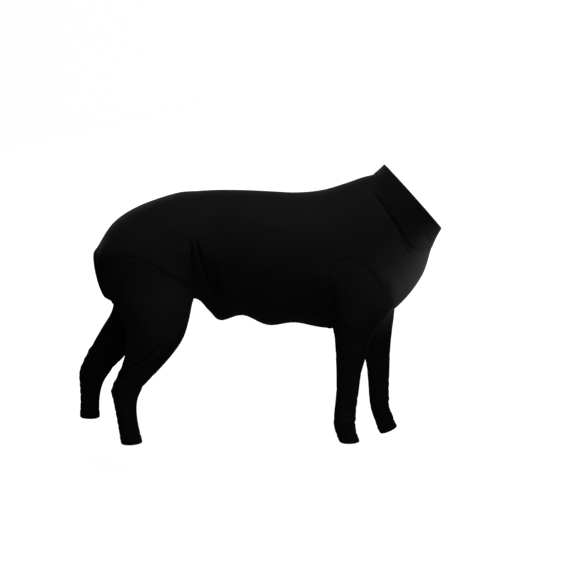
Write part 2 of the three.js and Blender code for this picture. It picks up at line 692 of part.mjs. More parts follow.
// A solid's mesh without the slivers that cuts leave: corners closer than a limit become one
function cleanMesh(solid) {
  const { vertProperties, triVerts } = solid.getMesh();
  const count = vertProperties.length / 3;
  const corner = (i) => new THREE.Vector3().fromArray(vertProperties, 3 * i);
  const parent = Array.from({ length: count }, (unused, i) => i);
  const find = (i) => (parent[i] === i ? i : (parent[i] = find(parent[i])));
  for (let t = 0; t < triVerts.length; t += 3) {
    for (let e = 0; e < 3; e += 1) {
      const from = triVerts[t + e];
      const to = triVerts[t + ((e + 1) % 3)];
      if (corner(from).distanceTo(corner(to)) < sliver) parent[find(from)] = find(to);
    }
  }
  const faces = new Map();
  for (let t = 0; t < triVerts.length; t += 3) {
    const face = [find(triVerts[t]), find(triVerts[t + 1]), find(triVerts[t + 2])];
    if (new Set(face).size < 3) continue;
    const key = [...face].sort((a, b) => a - b).join();
    if (faces.has(key)) faces.delete(key);
    else faces.set(key, face);
  }
  return { vertProperties, triangles: [...faces.values()].flat() };
}

function panel(name, solid) {
  const { vertProperties, triangles } = cleanMesh(solid);
  const geometry = new THREE.BufferGeometry();
  geometry.setAttribute("position", new THREE.BufferAttribute(vertProperties, 3));
  geometry.setIndex(triangles);
  geometry.computeVertexNormals();
  const mesh = new THREE.Mesh(geometry, new THREE.MeshStandardMaterial(jerseyBlack));
  mesh.name = name;
  return mesh;
}

// Values from stop to stop, each stretch with its own step
function lines(...stops) {
  const values = stops.slice(0, -1).flatMap(({ from, step }, i) => spaced(from, stops[i + 1].from, step));
  return [...values, stops.at(-1).from];
}

// The suit's surface within a box, as a net with its normals
function surfaceNet(box, xs, ys, zs) {
  const distance = suitWithin(box);
  const net = drawNet(distance, xs, ys, zs);
  net.points.forEach((point) => settle(distance, point));
  relax(distance, net, 2);
  net.normals = net.points.map(({ x, y, z }) => gradient(distance, x, y, z).normalize());
  return net;
}

// Even values along one axis, with space round the box
function evenLines(box, step, axis) {
  const room = margin * step[axis];
  return lines({ from: box.min[axis] - room, step: step[axis] }, { from: box.max[axis] + room });
}

function evenNet(box, step) {
  return surfaceNet(box, ...["x", "y", "z"].map((axis) => evenLines(box, step, axis)));
}

// Cloth of one layer, and doubled cloth, which stands out on both faces
function layerOf(net) {
  return netSolid(net, 0).subtract(netSolid(net, -cloth));
}

function doubledOf(net) {
  return netSolid(net, turned).subtract(netSolid(net, -cloth - turned));
}

const extent = legs.reduce((box, leg) => box.union(leg.loft.box), trunk.box.clone());
extent.expandByScalar(jointBlend);

function trunkNet() {
  const xs = lines(
    { from: extent.min.x - margin * trunkStep.x, step: trunkStep.x },
    { from: flankFrom * suitLength, step: flankStep },
    { from: flankTo * suitLength, step: trunkStep.x },
    { from: extent.max.x + margin * trunkStep.x },
  );
  return surfaceNet(extent, xs, evenLines(extent, trunkStep, "y"), evenLines(extent, trunkStep, "z"));
}

// The box round one leg panel, a little larger than the panel
function legBox(leg) {
  const seam = sidePoints(leg.hind ? thighSeam : shoulderSeam);
  const room = legStep.x;
  const rear = leg.hind ? extent.min.x : seam[0].x - room;
  const front = leg.hind ? seam.at(-1).x + room : sleeveFront * suitLength + room;
  const top = Math.max(...seam.map((point) => point.y)) + room;
  const near = (leg.hind ? hindInside : foreInside) * trunkWidth;
  const far = extent.max.y;
  return new THREE.Box3(
    new THREE.Vector3(rear, leg.side < 0 ? -far : near, extent.min.z),
    new THREE.Vector3(front, leg.side < 0 ? -near : far, top),
  );
}

// A leg's net, with its lines centred on the lower leg and closer together near the cuff
function legNet(leg) {
  const box = legBox(leg);
  const middle = (leg.side * leg.spread) / 2;
  const below = Math.ceil((middle - box.min.y) / legStep.y + 1) * legStep.y;
  const above = Math.ceil((box.max.y - middle) / legStep.y + 1) * legStep.y;
  return surfaceNet(
    box,
    evenLines(box, legStep, "x"),
    lines({ from: middle - below, step: legStep.y }, { from: middle + above }),
    lines(
      { from: box.min.z - 2 * cuffStep, step: cuffStep },
      { from: -cuffFrom * leg.drop, step: legStep.z },
      { from: box.max.z + margin * legStep.z },
    ),
  );
}

// The box round an end of the trunk, reaching back along the suit and out past the edge
function endBox(row, back, past) {
  const low = new THREE.Vector3(Math.min(row.ax, row.bx), -row.wide, Math.min(row.az, row.bz));
  const high = new THREE.Vector3(Math.max(row.ax, row.bx), row.wide, Math.max(row.az, row.bz));
  const box = new THREE.Box3(low, high).expandByScalar(back);
  box.max.x = high.x + past;
  return box;
}

const group = new THREE.Group();
const trunkCloth = trunkNet();
let torso = layerOf(trunkCloth)
  .subtract(collarSpace(seamGap))
  .subtract(pastTail(tailHemWidth, seamGap))
  .subtract(zipSpace(seamGap));

for (const leg of legs) {
  const net = legNet(leg);
  const space = legSpace(leg, 0);
  torso = torso.subtract(legSpace(leg, seamGap));
  const sleeve = layerOf(net)
    .intersect(space)
    .subtract(pastCuff(leg, hemWidth + seamGap))
    .subtract(pastTail(tailHemWidth, seamGap));
  const hem = doubledOf(net).intersect(space).intersect(pastCuff(leg, hemWidth));
  group.add(panel(leg.name + (leg.hind ? "_leg" : "_sleeve"), sleeve));
  group.add(panel(leg.name + "_cuff", hem.subtract(pastCuff(leg, 0))));
}
const neckRow = trunk.rows.at(-2);
const neckNet = evenNet(endBox(neckRow, collarReach * suitLength, mouthReach * suitLength), edgeStep);
const collar = doubledOf(neckNet).intersect(collarSpace(0)).subtract(pastEnd(neckRow, -1, 0));
const tailBox = endBox(trunk.rows[1], mouthReach * suitLength, mouthReach * suitLength);
const tailHem = doubledOf(evenNet(tailBox, edgeStep))
  .intersect(pastTail(tailHemWidth, 0))
  .subtract(pastTail(0, seamGap));
group.add(panel("torso", torso));
group.add(panel("collar", collar));
group.add(panel("tail_hem", tailHem));
group.add(panel("belly_zip", doubledOf(trunkCloth).intersect(zipSpace(0))));

export default group;
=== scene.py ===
# Dog recovery suit of black stretch jersey, in the form that it has when worn: torso, stand collar,
# fore sleeves, hind leg panels, turned hems, a hem round the tail opening and a zip on the belly.
# Metres, +X to the collar, +Y the suit's left, +Z up. The origin is the cloth's inner face on
# top of the middle of the back.
import math

import bpy
import numpy as np
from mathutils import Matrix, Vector
from mathutils.kdtree import KDTree


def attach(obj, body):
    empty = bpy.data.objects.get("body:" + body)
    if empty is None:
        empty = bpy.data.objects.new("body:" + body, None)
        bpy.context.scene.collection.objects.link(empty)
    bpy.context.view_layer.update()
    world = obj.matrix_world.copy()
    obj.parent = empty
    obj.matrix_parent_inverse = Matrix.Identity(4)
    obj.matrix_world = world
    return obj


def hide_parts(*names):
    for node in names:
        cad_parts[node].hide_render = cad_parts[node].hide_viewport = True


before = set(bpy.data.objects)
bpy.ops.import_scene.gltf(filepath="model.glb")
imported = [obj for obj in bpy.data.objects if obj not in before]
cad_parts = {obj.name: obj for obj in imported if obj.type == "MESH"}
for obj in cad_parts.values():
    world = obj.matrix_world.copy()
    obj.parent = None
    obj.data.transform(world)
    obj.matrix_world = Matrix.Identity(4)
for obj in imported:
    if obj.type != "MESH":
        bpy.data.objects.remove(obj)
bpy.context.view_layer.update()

# Driving sizes
SUIT_LENGTH = 0.692  # from the tail opening to the throat
TRUNK_DEPTH = 0.272  # from the back to the belly
TRUNK_WIDTH = 0.210  # at the chest
HIND = {"drop": 0.500, "depth": 0.174, "width": 0.092, "spread": 0.184}
FORE = {"drop": 0.500, "depth": 0.132, "width": 0.076, "spread": 0.156}
CLOTH = 0.0015  # one layer of jersey
TURNED = 0.00075  # what a doubled layer adds on each face
HEM_WIDTH = 0.014  # the turned hem of a cuff
TAIL_HEM_WIDTH = 0.010  # the turned hem of the tail opening
TAIL_ROOM = 0.006  # between the tail opening and the thighs
ZIP_LENGTH = 0.250
ZIP_WIDTH = 0.024
ZIP_AT = 0.03 * SUIT_LENGTH  # middle of the zip
JOINT_BLEND = 0.034  # how softly a leg runs into the trunk
END_BLEND = 0.045  # how softly a leg ends inside the trunk
GROUND = -0.557  # the floor below the cuffs

# Sections of the trunk from rump to neck, each a line from the back to the belly.
# at: share of SUIT_LENGTH, up: share of TRUNK_DEPTH, wide: half width, share of TRUNK_WIDTH
TRUNK_COLUMNS = ("back_at", "back_up", "belly_at", "belly_up", "wide")
TRUNK_ROWS = (
    (-0.548, -0.54, -0.515, -0.8, 0.215),
    (-0.507, -0.455, -0.473, -0.81, 0.25),
    (-0.452, -0.246, -0.42, -0.87, 0.38),
    (-0.377, -0.117, -0.361, -0.865, 0.45),
    (-0.268, -0.02, -0.263, -0.82, 0.452),
    (-0.204, -0.003, -0.207, -0.812, 0.425),
    (-0.167, 0.003, -0.17, -0.905, 0.43),
    (-0.131, 0.006, -0.137, -0.975, 0.445),
    (-0.058, 0.003, -0.072, -0.935, 0.467),
    (0.014, -0.006, 0.002, -1.01, 0.49),
    (0.087, -0.014, 0.081, -0.99, 0.5),
    (0.16, 0.004, 0.17, -1.03, 0.5),
    (0.226, 0.053, 0.29, -1.025, 0.476),
    (0.275, 0.097, 0.386, -0.86, 0.438),
    (0.301, 0.114, 0.453, -0.638, 0.381),
    (0.313, 0.129, 0.481, -0.418, 0.367),
    (0.339, 0.19, 0.507, -0.28, 0.352),
    (0.378, 0.316, 0.548, -0.145, 0.345),
)

# Sections of a leg from hip or shoulder down past the cuff.
# along: share of SUIT_LENGTH, down: share of the drop, deep and wide: half sizes, shares of the
# leg's depth and width, out: middle, share of the spread, tilt: degrees, front edge down
LEG_COLUMNS = ("along", "down", "deep", "wide", "out", "tilt")
HIND_RIGHT_ROWS = (
    (-0.375, 0.15, 0.26, 0.3, 0.27, -7),
    (-0.366, 0.222, 0.42, 0.42, 0.315, -3),
    (-0.348, 0.312, 0.49, 0.47, 0.345, 2),
    (-0.335, 0.394, 0.482, 0.5, 0.38, 0),
    (-0.326, 0.456, 0.43, 0.5, 0.415, 1),
    (-0.321, 0.52, 0.362, 0.47, 0.446, 5),
    (-0.324, 0.57, 0.316, 0.435, 0.468, 5.5),
    (-0.34, 0.627, 0.262, 0.39, 0.485, 7),
    (-0.366, 0.686, 0.206, 0.335, 0.495, 13),
    (-0.387, 0.728, 0.174, 0.29, 0.5, 16),
    (-0.406, 0.777, 0.176, 0.24, 0.5, 0),
    (-0.41, 0.822, 0.14, 0.215, 0.5, 0),
    (-0.407, 0.888, 0.12, 0.2, 0.5, 0),
    (-0.394, 0.995, 0.12, 0.207, 0.5, -3),
    (-0.371, 1.14, 0.117, 0.207, 0.5, -5),
)
HIND_LEFT_ROWS = (
    (-0.375, 0.15, 0.26, 0.3, 0.27, -7),
    (-0.366, 0.222, 0.42, 0.42, 0.315, -3),
    (-0.351, 0.312, 0.49, 0.47, 0.345, 2),
    (-0.344, 0.394, 0.466, 0.5, 0.38, 3),
    (-0.355, 0.46, 0.42, 0.5, 0.415, 7),
    (-0.379, 0.524, 0.359, 0.47, 0.446, 12),
    (-0.405, 0.576, 0.31, 0.435, 0.468, 17),
    (-0.443, 0.632, 0.262, 0.39, 0.485, 20),
    (-0.481, 0.69, 0.215, 0.335, 0.495, 21),
    (-0.51, 0.742, 0.194, 0.29, 0.5, 17),
    (-0.535, 0.8, 0.174, 0.24, 0.5, 9),
    (-0.544, 0.85, 0.139, 0.215, 0.5, 3),
    (-0.548, 0.91, 0.118, 0.2, 0.5, 0),
    (-0.55, 0.99, 0.117, 0.207, 0.5, 2),
    (-0.55, 1.14, 0.117, 0.207, 0.5, 2),
)
FORE_RIGHT_ROWS = (
    (0.25, 0.18, 0.16, 0.29, 0.33, -14),
    (0.249, 0.264, 0.34, 0.4, 0.4, -4),
    (0.268, 0.36, 0.485, 0.475, 0.45, 5),
    (0.27, 0.43, 0.49, 0.5, 0.475, 3),
    (0.259, 0.5, 0.386, 0.474, 0.495, 0),
    (0.249, 0.566, 0.286, 0.41, 0.5, 0),
    (0.2435, 0.636, 0.238, 0.355, 0.5, 0),
    (0.237, 0.718, 0.19, 0.296, 0.5, 0),
    (0.233, 0.8, 0.172, 0.263, 0.5, 0),
    (0.226, 0.896, 0.167, 0.25, 0.5, 0),
    (0.227, 0.942, 0.166, 0.256, 0.5, -1),
    (0.24, 0.998, 0.15, 0.25, 0.5, -2),
    (0.283, 1.13, 0.15, 0.25, 0.5, -4),
)
FORE_LEFT_ROWS = (
    (0.25, 0.18, 0.16, 0.29, 0.33, -14),
    (0.252, 0.264, 0.34, 0.4, 0.4, -4),
    (0.277, 0.366, 0.485, 0.475, 0.45, 5),
    (0.29, 0.45, 0.484, 0.5, 0.475, 3),
    (0.306, 0.524, 0.403, 0.474, 0.495, 0),
    (0.319, 0.602, 0.306, 0.41, 0.5, 0),
    (0.327, 0.67, 0.24, 0.355, 0.5, 0),
    (0.334, 0.74, 0.194, 0.296, 0.5, 0),
    (0.3375, 0.827, 0.17, 0.263, 0.5, 0),
    (0.3395, 0.906, 0.158, 0.25, 0.5, 0),
    (0.344, 0.95, 0.15, 0.25, 0.5, -7),
    (0.355, 0.99, 0.15, 0.25, 0.5, -15),
    (0.369, 1.038, 0.145, 0.25, 0.5, -24),
    (0.432, 1.16, 0.145, 0.25, 0.5, -27),
)

# Seams in the side view, as shares of SUIT_LENGTH and TRUNK_DEPTH
THIGH_SEAM = (
    (-0.465, -0.496), (-0.433, -0.441), (-0.399, -0.43), (-0.355, -0.45), (-0.315, -0.504),
    (-0.254, -0.603), (-0.216, -0.673), (-0.21, -0.73),
)
SHOULDER_SEAM = (
    (0.176, -0.607), (0.181, -0.505), (0.208, -0.449), (0.24, -0.447), (0.286, -0.498),
    (0.329, -0.643), (0.35, -0.735), (0.362, -0.82),
)
NECK_SEAM = (
    (0.322, 0.3), (0.311, 0.13), (0.303, 0.035), (0.322, -0.035), (0.344, -0.12), (0.365, -0.195),
    (0.386, -0.28), (0.41, -0.37), (0.442, -0.415), (0.49, -0.42), (0.56, -0.42),
)
# Inner edges of the leg panels seen from below, as shares of SUIT_LENGTH and TRUNK_WIDTH
GROIN_SEAM = (
    (-0.56, 0.34), (-0.49, 0.32), (-0.42, 0.22), (-0.33, 0.155), (-0.26, 0.17), (-0.19, 0.3),
)
ARMPIT_SEAM = ((0.14, 0.31), (0.21, 0.19), (0.28, 0.165), (0.35, 0.21), (0.41, 0.4))
GROIN_UP = -0.9 * TRUNK_DEPTH  # below this the hind legs stand free
ARMPIT_UP = -1.07 * TRUNK_DEPTH  # the same of the forelegs
SLEEVE_FRONT = 0.5 * SUIT_LENGTH  # in front of all of the fore sleeves

# Folds of the trunk, each a line in the side view, in metres. high is below 0 for a groove,
# side is -1 on the right and 1 on the left, dark is how much painted shade darkens the hollow's
# colour
FOLD_COLUMNS = ("from_x", "from_z", "to_x", "to_z", "half", "high", "side", "dark")
FOLDS = (
    (-0.149, -0.094, -0.145, -0.176, 0.0027, -0.0044, -1, 0.9),
    (-0.144, -0.092, -0.121, -0.192, 0.0028, 0.0030, -1, 0.0),
    (-0.137, -0.096, -0.112, -0.198, 0.0038, -0.0052, -1, 0.9),
    (-0.116, -0.135, -0.088, -0.240, 0.0150, -0.0060, -1, 0.6),
    (-0.158, -0.100, -0.160, -0.170, 0.0120, 0.0030, -1, 0.0),
    (-0.145, -0.100, -0.146, -0.190, 0.0070, -0.0050, 1, 0.7),
    (-0.128, -0.110, -0.116, -0.200, 0.0070, -0.0040, 1, 0.5),
    (0.128, -0.178, 0.129, -0.262, 0.0070, -0.0070, -1, 0.9),
    (0.088, -0.186, 0.118, -0.210, 0.0110, -0.0018, -1, 0.7),
    (0.100, -0.215, 0.122, -0.262, 0.0150, -0.0050, -1, 0.7),
    (0.112, -0.140, 0.108, -0.240, 0.0200, 0.0030, -1, 0.0),
    (0.126, -0.170, 0.128, -0.262, 0.0090, -0.0080, 1, 0.8),
    (0.311, -0.080, 0.326, -0.098, 0.0035, -0.0022, -1, 0.5),
    (0.311, -0.080, 0.326, -0.098, 0.0035, -0.0022, 1, 0.5),
    (0.2615, -0.084, 0.281, -0.113, 0.0030, -0.0028, -1, 0.9),
    (0.212, 0.006, 0.284, -0.101, 0.0034, -0.0018, -1, 0.9),
    (0.212, 0.006, 0.284, -0.101, 0.0034, -0.0018, 1, 0.9),
)
FOLD_FADE = 0.2  # how far a fold runs on past its ends, share of its length
FOLD_FROM = 0.1 * TRUNK_WIDTH  # a fold of one side starts this far from the middle line
FOLD_FULL = 0.25 * TRUNK_WIDTH  # and has its full height from here on

# Creases round a leg. rear_down and front_down: where it meets the rear and the front of the leg,
# shares of the drop, from_share and to_share: its ends between rear (-1) and front (1),
# face: 1 outer, -1 inner, 0 all round. half, high and dark as for the folds, dark being painted
# shade
CREASE_COLUMNS = (
    "rear_down", "front_down", "from_share", "to_share", "half", "high", "face", "dark",
)
HIND_CREASES = (
    (0.705, 0.440, -1.1, -0.15, 0.0028, -0.0034, 1, 0.9),
    (0.724, 0.472, -1.1, 0.10, 0.0026, 0.0028, 1, 0.0),
    (0.742, 0.512, -1.1, 0.30, 0.0030, -0.0038, 1, 1.0),
    (0.756, 0.558, -1.1, 0.5, 0.0026, 0.0030, 1, 0.0),
    (0.768, 0.602, -1.1, 0.6, 0.0028, -0.0036, 1, 1.0),
    (0.782, 0.658, -1.0, 0.7, 0.0025, 0.0025, 1, 0.0),
    (0.793, 0.704, -1.0, 0.9, 0.0027, -0.0029, 1, 0.9),
    (0.815, 0.790, -1.0, 0.3, 0.0026, -0.0014, 0, 0.4),
    (0.843, 0.836, -1.0, 0.1, 0.0024, -0.0012, 0, 0.4),
    (0.867, 0.866, -1.1, 0.0, 0.0024, -0.0012, 0, 0.4),
    (0.895, 0.898, -1.1, 0.2, 0.0024, -0.0011, 0, 0.4),
    (0.925, 0.930, -1.1, 0.9, 0.0026, -0.0009, 0, 0.3),
    (0.700, 0.760, 0.1, 1.1, 0.0060, -0.0020, 0, 0.4),
    (0.760, 0.735, -0.2, 1.1, 0.0035, -0.0018, -1, 0.4),
    (0.740, 0.700, -0.4, 1.1, 0.0035, -0.0018, -1, 0.4),
)
FORE_CREASES = (
    (0.932, 0.920, -0.9, 1.0, 0.0026, -0.0020, 0, 0.5),
    (0.952, 0.943, -0.8, 0.9, 0.0026, -0.0020, 0, 0.5),
    (0.969, 0.963, -0.7, 0.9, 0.0024, -0.0017, 0, 0.5),
    (0.920, 0.905, -0.6, 1.1, 0.0040, 0.0014, 0, 0.0),
    (0.905, 0.890, -1.0, 0.4, 0.0035, -0.0010, 0, 0.3),
    (0.520, 0.575, -1.1, 0.6, 0.0080, -0.0018, 1, 0.3),
    (0.560, 0.600, -0.9, 1.1, 0.0070, -0.0012, 1, 0.2),
    (0.640, 0.660, -1.0, 0.8, 0.0060, -0.0013, 0, 0.2),
    (0.700, 0.715, -0.8, 1.0, 0.0055, -0.0012, 0, 0.2),
    (0.780, 0.770, -1.0, 0.6, 0.0045, -0.0012, 0, 0.2),
    (0.835, 0.822, -0.2, 1.1, 0.0038, -0.0012, 0, 0.3),
    (0.872, 0.860, -0.1, 1.1, 0.0034, -0.0012, 0, 0.3),
)
CREASE_FADE = 0.25  # how softly a crease ends, share of half the leg's depth
FACE_FROM = -0.3  # a crease of one face starts here, share of half the leg's width
FACE_FULL = 0.4  # and has its full height from here on
OFF_LEG = 0.35  # cloth this far from the bare leg has no creases, in steps of the net
ON_LEG = 0.1  # cloth this near to it has them in full
SHIN_DEEP = 0.2  # half the depth of a shin, share of the leg's

# Steps of the net that the cloth is drawn on
NET_STEP = 0.0037
FLANK_STEP = 0.0018  # along the suit, over the flank's folds
FLANK_FROM = -0.166
FLANK_TO = -0.106
SHIN_STEP = 0.0023  # up and down, over the creases of the lower legs
SHIN_TOP = -0.31
COARSE = 4  # steps of the first look for the surface
BAND = 0.017  # the net is looked for this close to the first look's surface
PROBE = 0.0005  # between trial points, where a slope is worked out
FINER = 6  # sections of a loft for each row of its table
CHUNK = 16000  # points worked out at a time
FAR = 2.0  # further than any seam's line has to reach
SNAP = 0.25  # a point this share of an edge away from a cut moves onto it
LEAST_SLOPE = 0.25  # square of the flattest slope that a point is moved by
TINY = 1e-12  # stands in for 0 where something is divided by it
SMALL = 1e-9  # the same for lengths of arrows and for slopes of ovals
ON_CUT = 1e-7  # a point this near to a cut lies on it


# Curves, steps and joins

def curve_through(values):
    """A table's column with smooth values in between"""
    t = np.arange(FINER * (len(values) - 1) + 1) / FINER
    row = np.minimum(t.astype(int), len(values) - 2)
    f = t - row
    before = values[np.maximum(row - 1, 0)]
    start = values[row]
    end = values[row + 1]
    after = values[np.minimum(row + 2, len(values) - 1)]
    leave = (end - before) / 2
    arrive = (after - start) / 2
    bend = 3 * (end - start) - 2 * leave - arrive
    twist = 2 * (start - end) + leave + arrive
    return start + f * (leave + f * (bend + f * twist))


def smooth_line(points):
    """A smooth line through a short list of points in a plane"""
    points = np.asarray(points, float)
    return np.stack([curve_through(points[:, 0]), curve_through(points[:, 1])], axis=1)


def smooth_min(a, b, blend):
    near = np.maximum(blend - np.abs(a - b), 0)
    return np.minimum(a, b) - near * near / (4 * blend)


def smooth_step(low, high, value):
    f = np.clip((value - low) / (high - low), 0, 1)
    return f * f * (3 - 2 * f)


def named(columns, rows):
    """A table as one array for each column"""
    return dict(zip(columns, np.array(rows, float).T))


# The form of the suit

class Loft:
    """A tube through oval sections, each a line in the side view with a half width"""

    def __init__(self, start_x, start_z, end_x, end_z, wide, middle):
        self.ends = np.stack([start_x, start_z, end_x, end_z, wide], axis=1)
        self.low = np.array([min(start_x.min(), end_x.min()), (middle - wide).min(),
                             min(start_z.min(), end_z.min())])
        self.high = np.array([max(start_x.max(), end_x.max()), (middle + wide).max(),
                              max(start_z.max(), end_z.max())])
        self.x = curve_through(start_x)
        self.z = curve_through(start_z)
        span_x = curve_through(end_x) - self.x
        span_z = curve_through(end_z) - self.z
        length = np.hypot(span_x, span_z)
        self.dx = span_x / length
        self.dz = span_z / length
        self.deep = length / 2
        self.wide = curve_through(wide)
        self.middle = curve_through(middle)
        line = np.stack([self.x + span_x / 2, self.middle, self.z + span_z / 2], axis=1)
        steps = np.linalg.norm(np.diff(line, axis=0), axis=1)
        self.run = np.concatenate([[0], np.cumsum(steps)])
        self.girth = 2 * math.pi * np.sqrt(self.deep * self.wide).mean()
        self.turn_first = np.sign(self.past(self.x[-1:], self.z[-1:])[0, 0])
        self.turn_last = np.sign(self.past(self.x[:1], self.z[:1])[0, -1])

    def past(self, x, z):
        """How far points lie to one side of each section's line"""
        return self.dx * (z[:, None] - self.z) - self.dz * (x[:, None] - self.x)

    def oval(self, points, i, f):
        """Distance to the oval a share f of the way past section i, and the place on it"""
        j = np.minimum(i + 1, len(self.x) - 1)

        def mix(values):
            return values[i] + f * (values[j] - values[i])

        x, y, z = points.T
        deep = mix(self.deep)
        wide = mix(self.wide)
        u = (x - mix(self.x)) * mix(self.dx) + (z - mix(self.z)) * mix(self.dz) - deep
        v = y - mix(self.middle)
        size = np.hypot(u / deep, v / wide)
        slope = np.maximum(np.hypot(u / deep**2, v / wide**2), SMALL)
        distance = np.where(size > 0, size * (size - 1) / slope, -np.minimum(deep, wide))
        return distance, u / deep, v / wide

    def look(self, points):
        """Distance to the tube, the distance along it, and the place on its oval"""
        past = self.past(points[:, 0], points[:, 2])
        before = past[:, :-1]
        after = past[:, 1:]
        hit, i = np.nonzero((before * after <= 0) & (before != after))
        f = before[hit, i] / (before[hit, i] - after[hit, i])
        found = np.full((len(points), 4), np.inf)
        nearer_first = np.abs(past[:, 0]) < np.abs(past[:, -1])
        end = np.where(nearer_first, 0, len(self.x) - 1)
        distance, u, v = self.oval(points, end, np.zeros(len(points)))
        outside = np.maximum(distance, 0)
        missed = np.stack([outside, self.run[end], u, v], axis=1)
        distance, u, v = self.oval(points[hit], i, f)
        run = self.run[i] + f * (self.run[i + 1] - self.run[i])
        order = np.argsort(-distance)
        found[hit[order]] = np.stack([distance, run, u, v], axis=1)[order]
        found = np.where(np.isinf(found[:, :1]), missed, found)
        beyond = np.maximum(-past[:, 0] * self.turn_first, -past[:, -1] * self.turn_last)
        found[:, 0] = -smooth_min(-found[:, 0], -beyond, END_BLEND)
        return found

    def place(self, points):
        """The distance along the tube and the place on its oval, for any number of points"""
        parts = np.array_split(points, len(points) // CHUNK + 1)
        return np.concatenate([self.look(part)[:, 1:] for part in parts]).T

    def distance(self, points):
        away = np.max(np.maximum(self.low - points, points - self.high), axis=1)
        result = away.copy()
        near = np.nonzero(away <= 2 * JOINT_BLEND)[0]
        for part in np.array_split(near, len(near) // CHUNK + 1):
            if len(part):
                result[part] = self.look(points[part])[:, 0]
        return result


def trunk_loft():
    t = named(TRUNK_COLUMNS, TRUNK_ROWS)
    return Loft(t["back_at"] * SUIT_LENGTH, t["back_up"] * TRUNK_DEPTH, t["belly_at"] * SUIT_LENGTH,
                t["belly_up"] * TRUNK_DEPTH, t["wide"] * TRUNK_WIDTH, 0 * t["wide"])


def leg_loft(rows, sizes, side):
    t = named(LEG_COLUMNS, rows)
    lean = np.radians(t["tilt"])
    reach_x = t["deep"] * sizes["depth"] * np.cos(lean)
    reach_z = t["deep"] * sizes["depth"] * np.sin(lean)
    x = t["along"] * SUIT_LENGTH
    z = -t["down"] * sizes["drop"]
    return Loft(x - reach_x, z + reach_z, x + reach_x, z - reach_z, t["wide"] * sizes["width"],
                side * t["out"] * sizes["spread"])


class Leg:
    """One leg of the suit, with the names of its panel and its cuff"""

    def __init__(self, name, panel, rows, sizes, side, creases):
        self.panel = f"{name}_{panel}"
        self.cuff = f"{name}_cuff"
        self.hind = sizes is HIND
        self.sizes = sizes
        self.side = side
        self.creases = creases
        self.loft = leg_loft(rows, sizes, side)


TRUNK = trunk_loft()
LEGS = (
    Leg("hind_right", "leg", HIND_RIGHT_ROWS, HIND, -1, HIND_CREASES),
    Leg("hind_left", "leg", HIND_LEFT_ROWS, HIND, 1, HIND_CREASES),
    Leg("front_right", "sleeve", FORE_RIGHT_ROWS, FORE, -1, FORE_CREASES),
    Leg("front_left", "sleeve", FORE_LEFT_ROWS, FORE, 1, FORE_CREASES),
)


def suit_distance(points):
    """Distance to the smooth form of the suit, below 0 inside"""
    distance = TRUNK.distance(points)
    for side in (-1, 1):
        limbs = [leg.loft.distance(points) for leg in LEGS if leg.side == side]
        distance = smooth_min(distance, np.minimum(*limbs), JOINT_BLEND)
    return distance


def slope_of(distance, points):
    columns = []
    for axis in range(3):
        step = np.zeros(3)
        step[axis] = PROBE
        columns.append((distance(points + step) - distance(points - step)) / (2 * PROBE))
    return np.stack(columns, axis=1)


def settle(points, rounds):
    """Moves points onto the surface"""
    for _ in range(rounds):
        slope = slope_of(suit_distance, points)
        steep = np.maximum((slope**2).sum(axis=1), LEAST_SLOPE)
        move = slope * (suit_distance(points) / steep)[:, None]
        length = np.linalg.norm(move, axis=1, keepdims=True)
        points = points - move * np.minimum(1, NET_STEP / np.maximum(length, TINY))
    return points


# The net of four-sided faces over the whole suit

def net_lines(stops, end):
    """Values from stop to stop, each stretch with its own step"""
    values = []
    for (start, step), (stop, _) in zip(stops, list(stops[1:]) + [(end, 0)]):
        count = max(1, round((stop - start) / step))
        values.append(np.linspace(start, stop, count, endpoint=False))
    return np.append(np.concatenate(values), end)


def spread_matrix(fine, coarse):
    """Weights that carry values on coarse lines to fine lines"""
    return np.stack([np.interp(fine, coarse, unit) for unit in np.eye(len(coarse))], axis=1)


def values_near_surface(axes):
    """The suit's distance at every crossing of the lines, exact near the surface"""
    coarse = [np.append(axis[:-1:COARSE], axis[-1]) for axis in axes]
    spots = np.stack(np.meshgrid(*coarse, indexing="ij"), axis=-1)
    first = suit_distance(spots.reshape(-1, 3)).reshape(spots.shape[:3])
    x, y, z = (spread_matrix(fine, rough) for fine, rough in zip(axes, coarse))
    along = np.einsum("ia,abc->ibc", x, first)
    across = np.einsum("jb,ibc->ijc", y, along)
    value = np.einsum("kc,ijc->ijk", z, across)
    i, j, k = np.nonzero(np.abs(value) < BAND)
    value[i, j, k] = suit_distance(np.stack([axes[0][i], axes[1][j], axes[2][k]], axis=1))
    return value


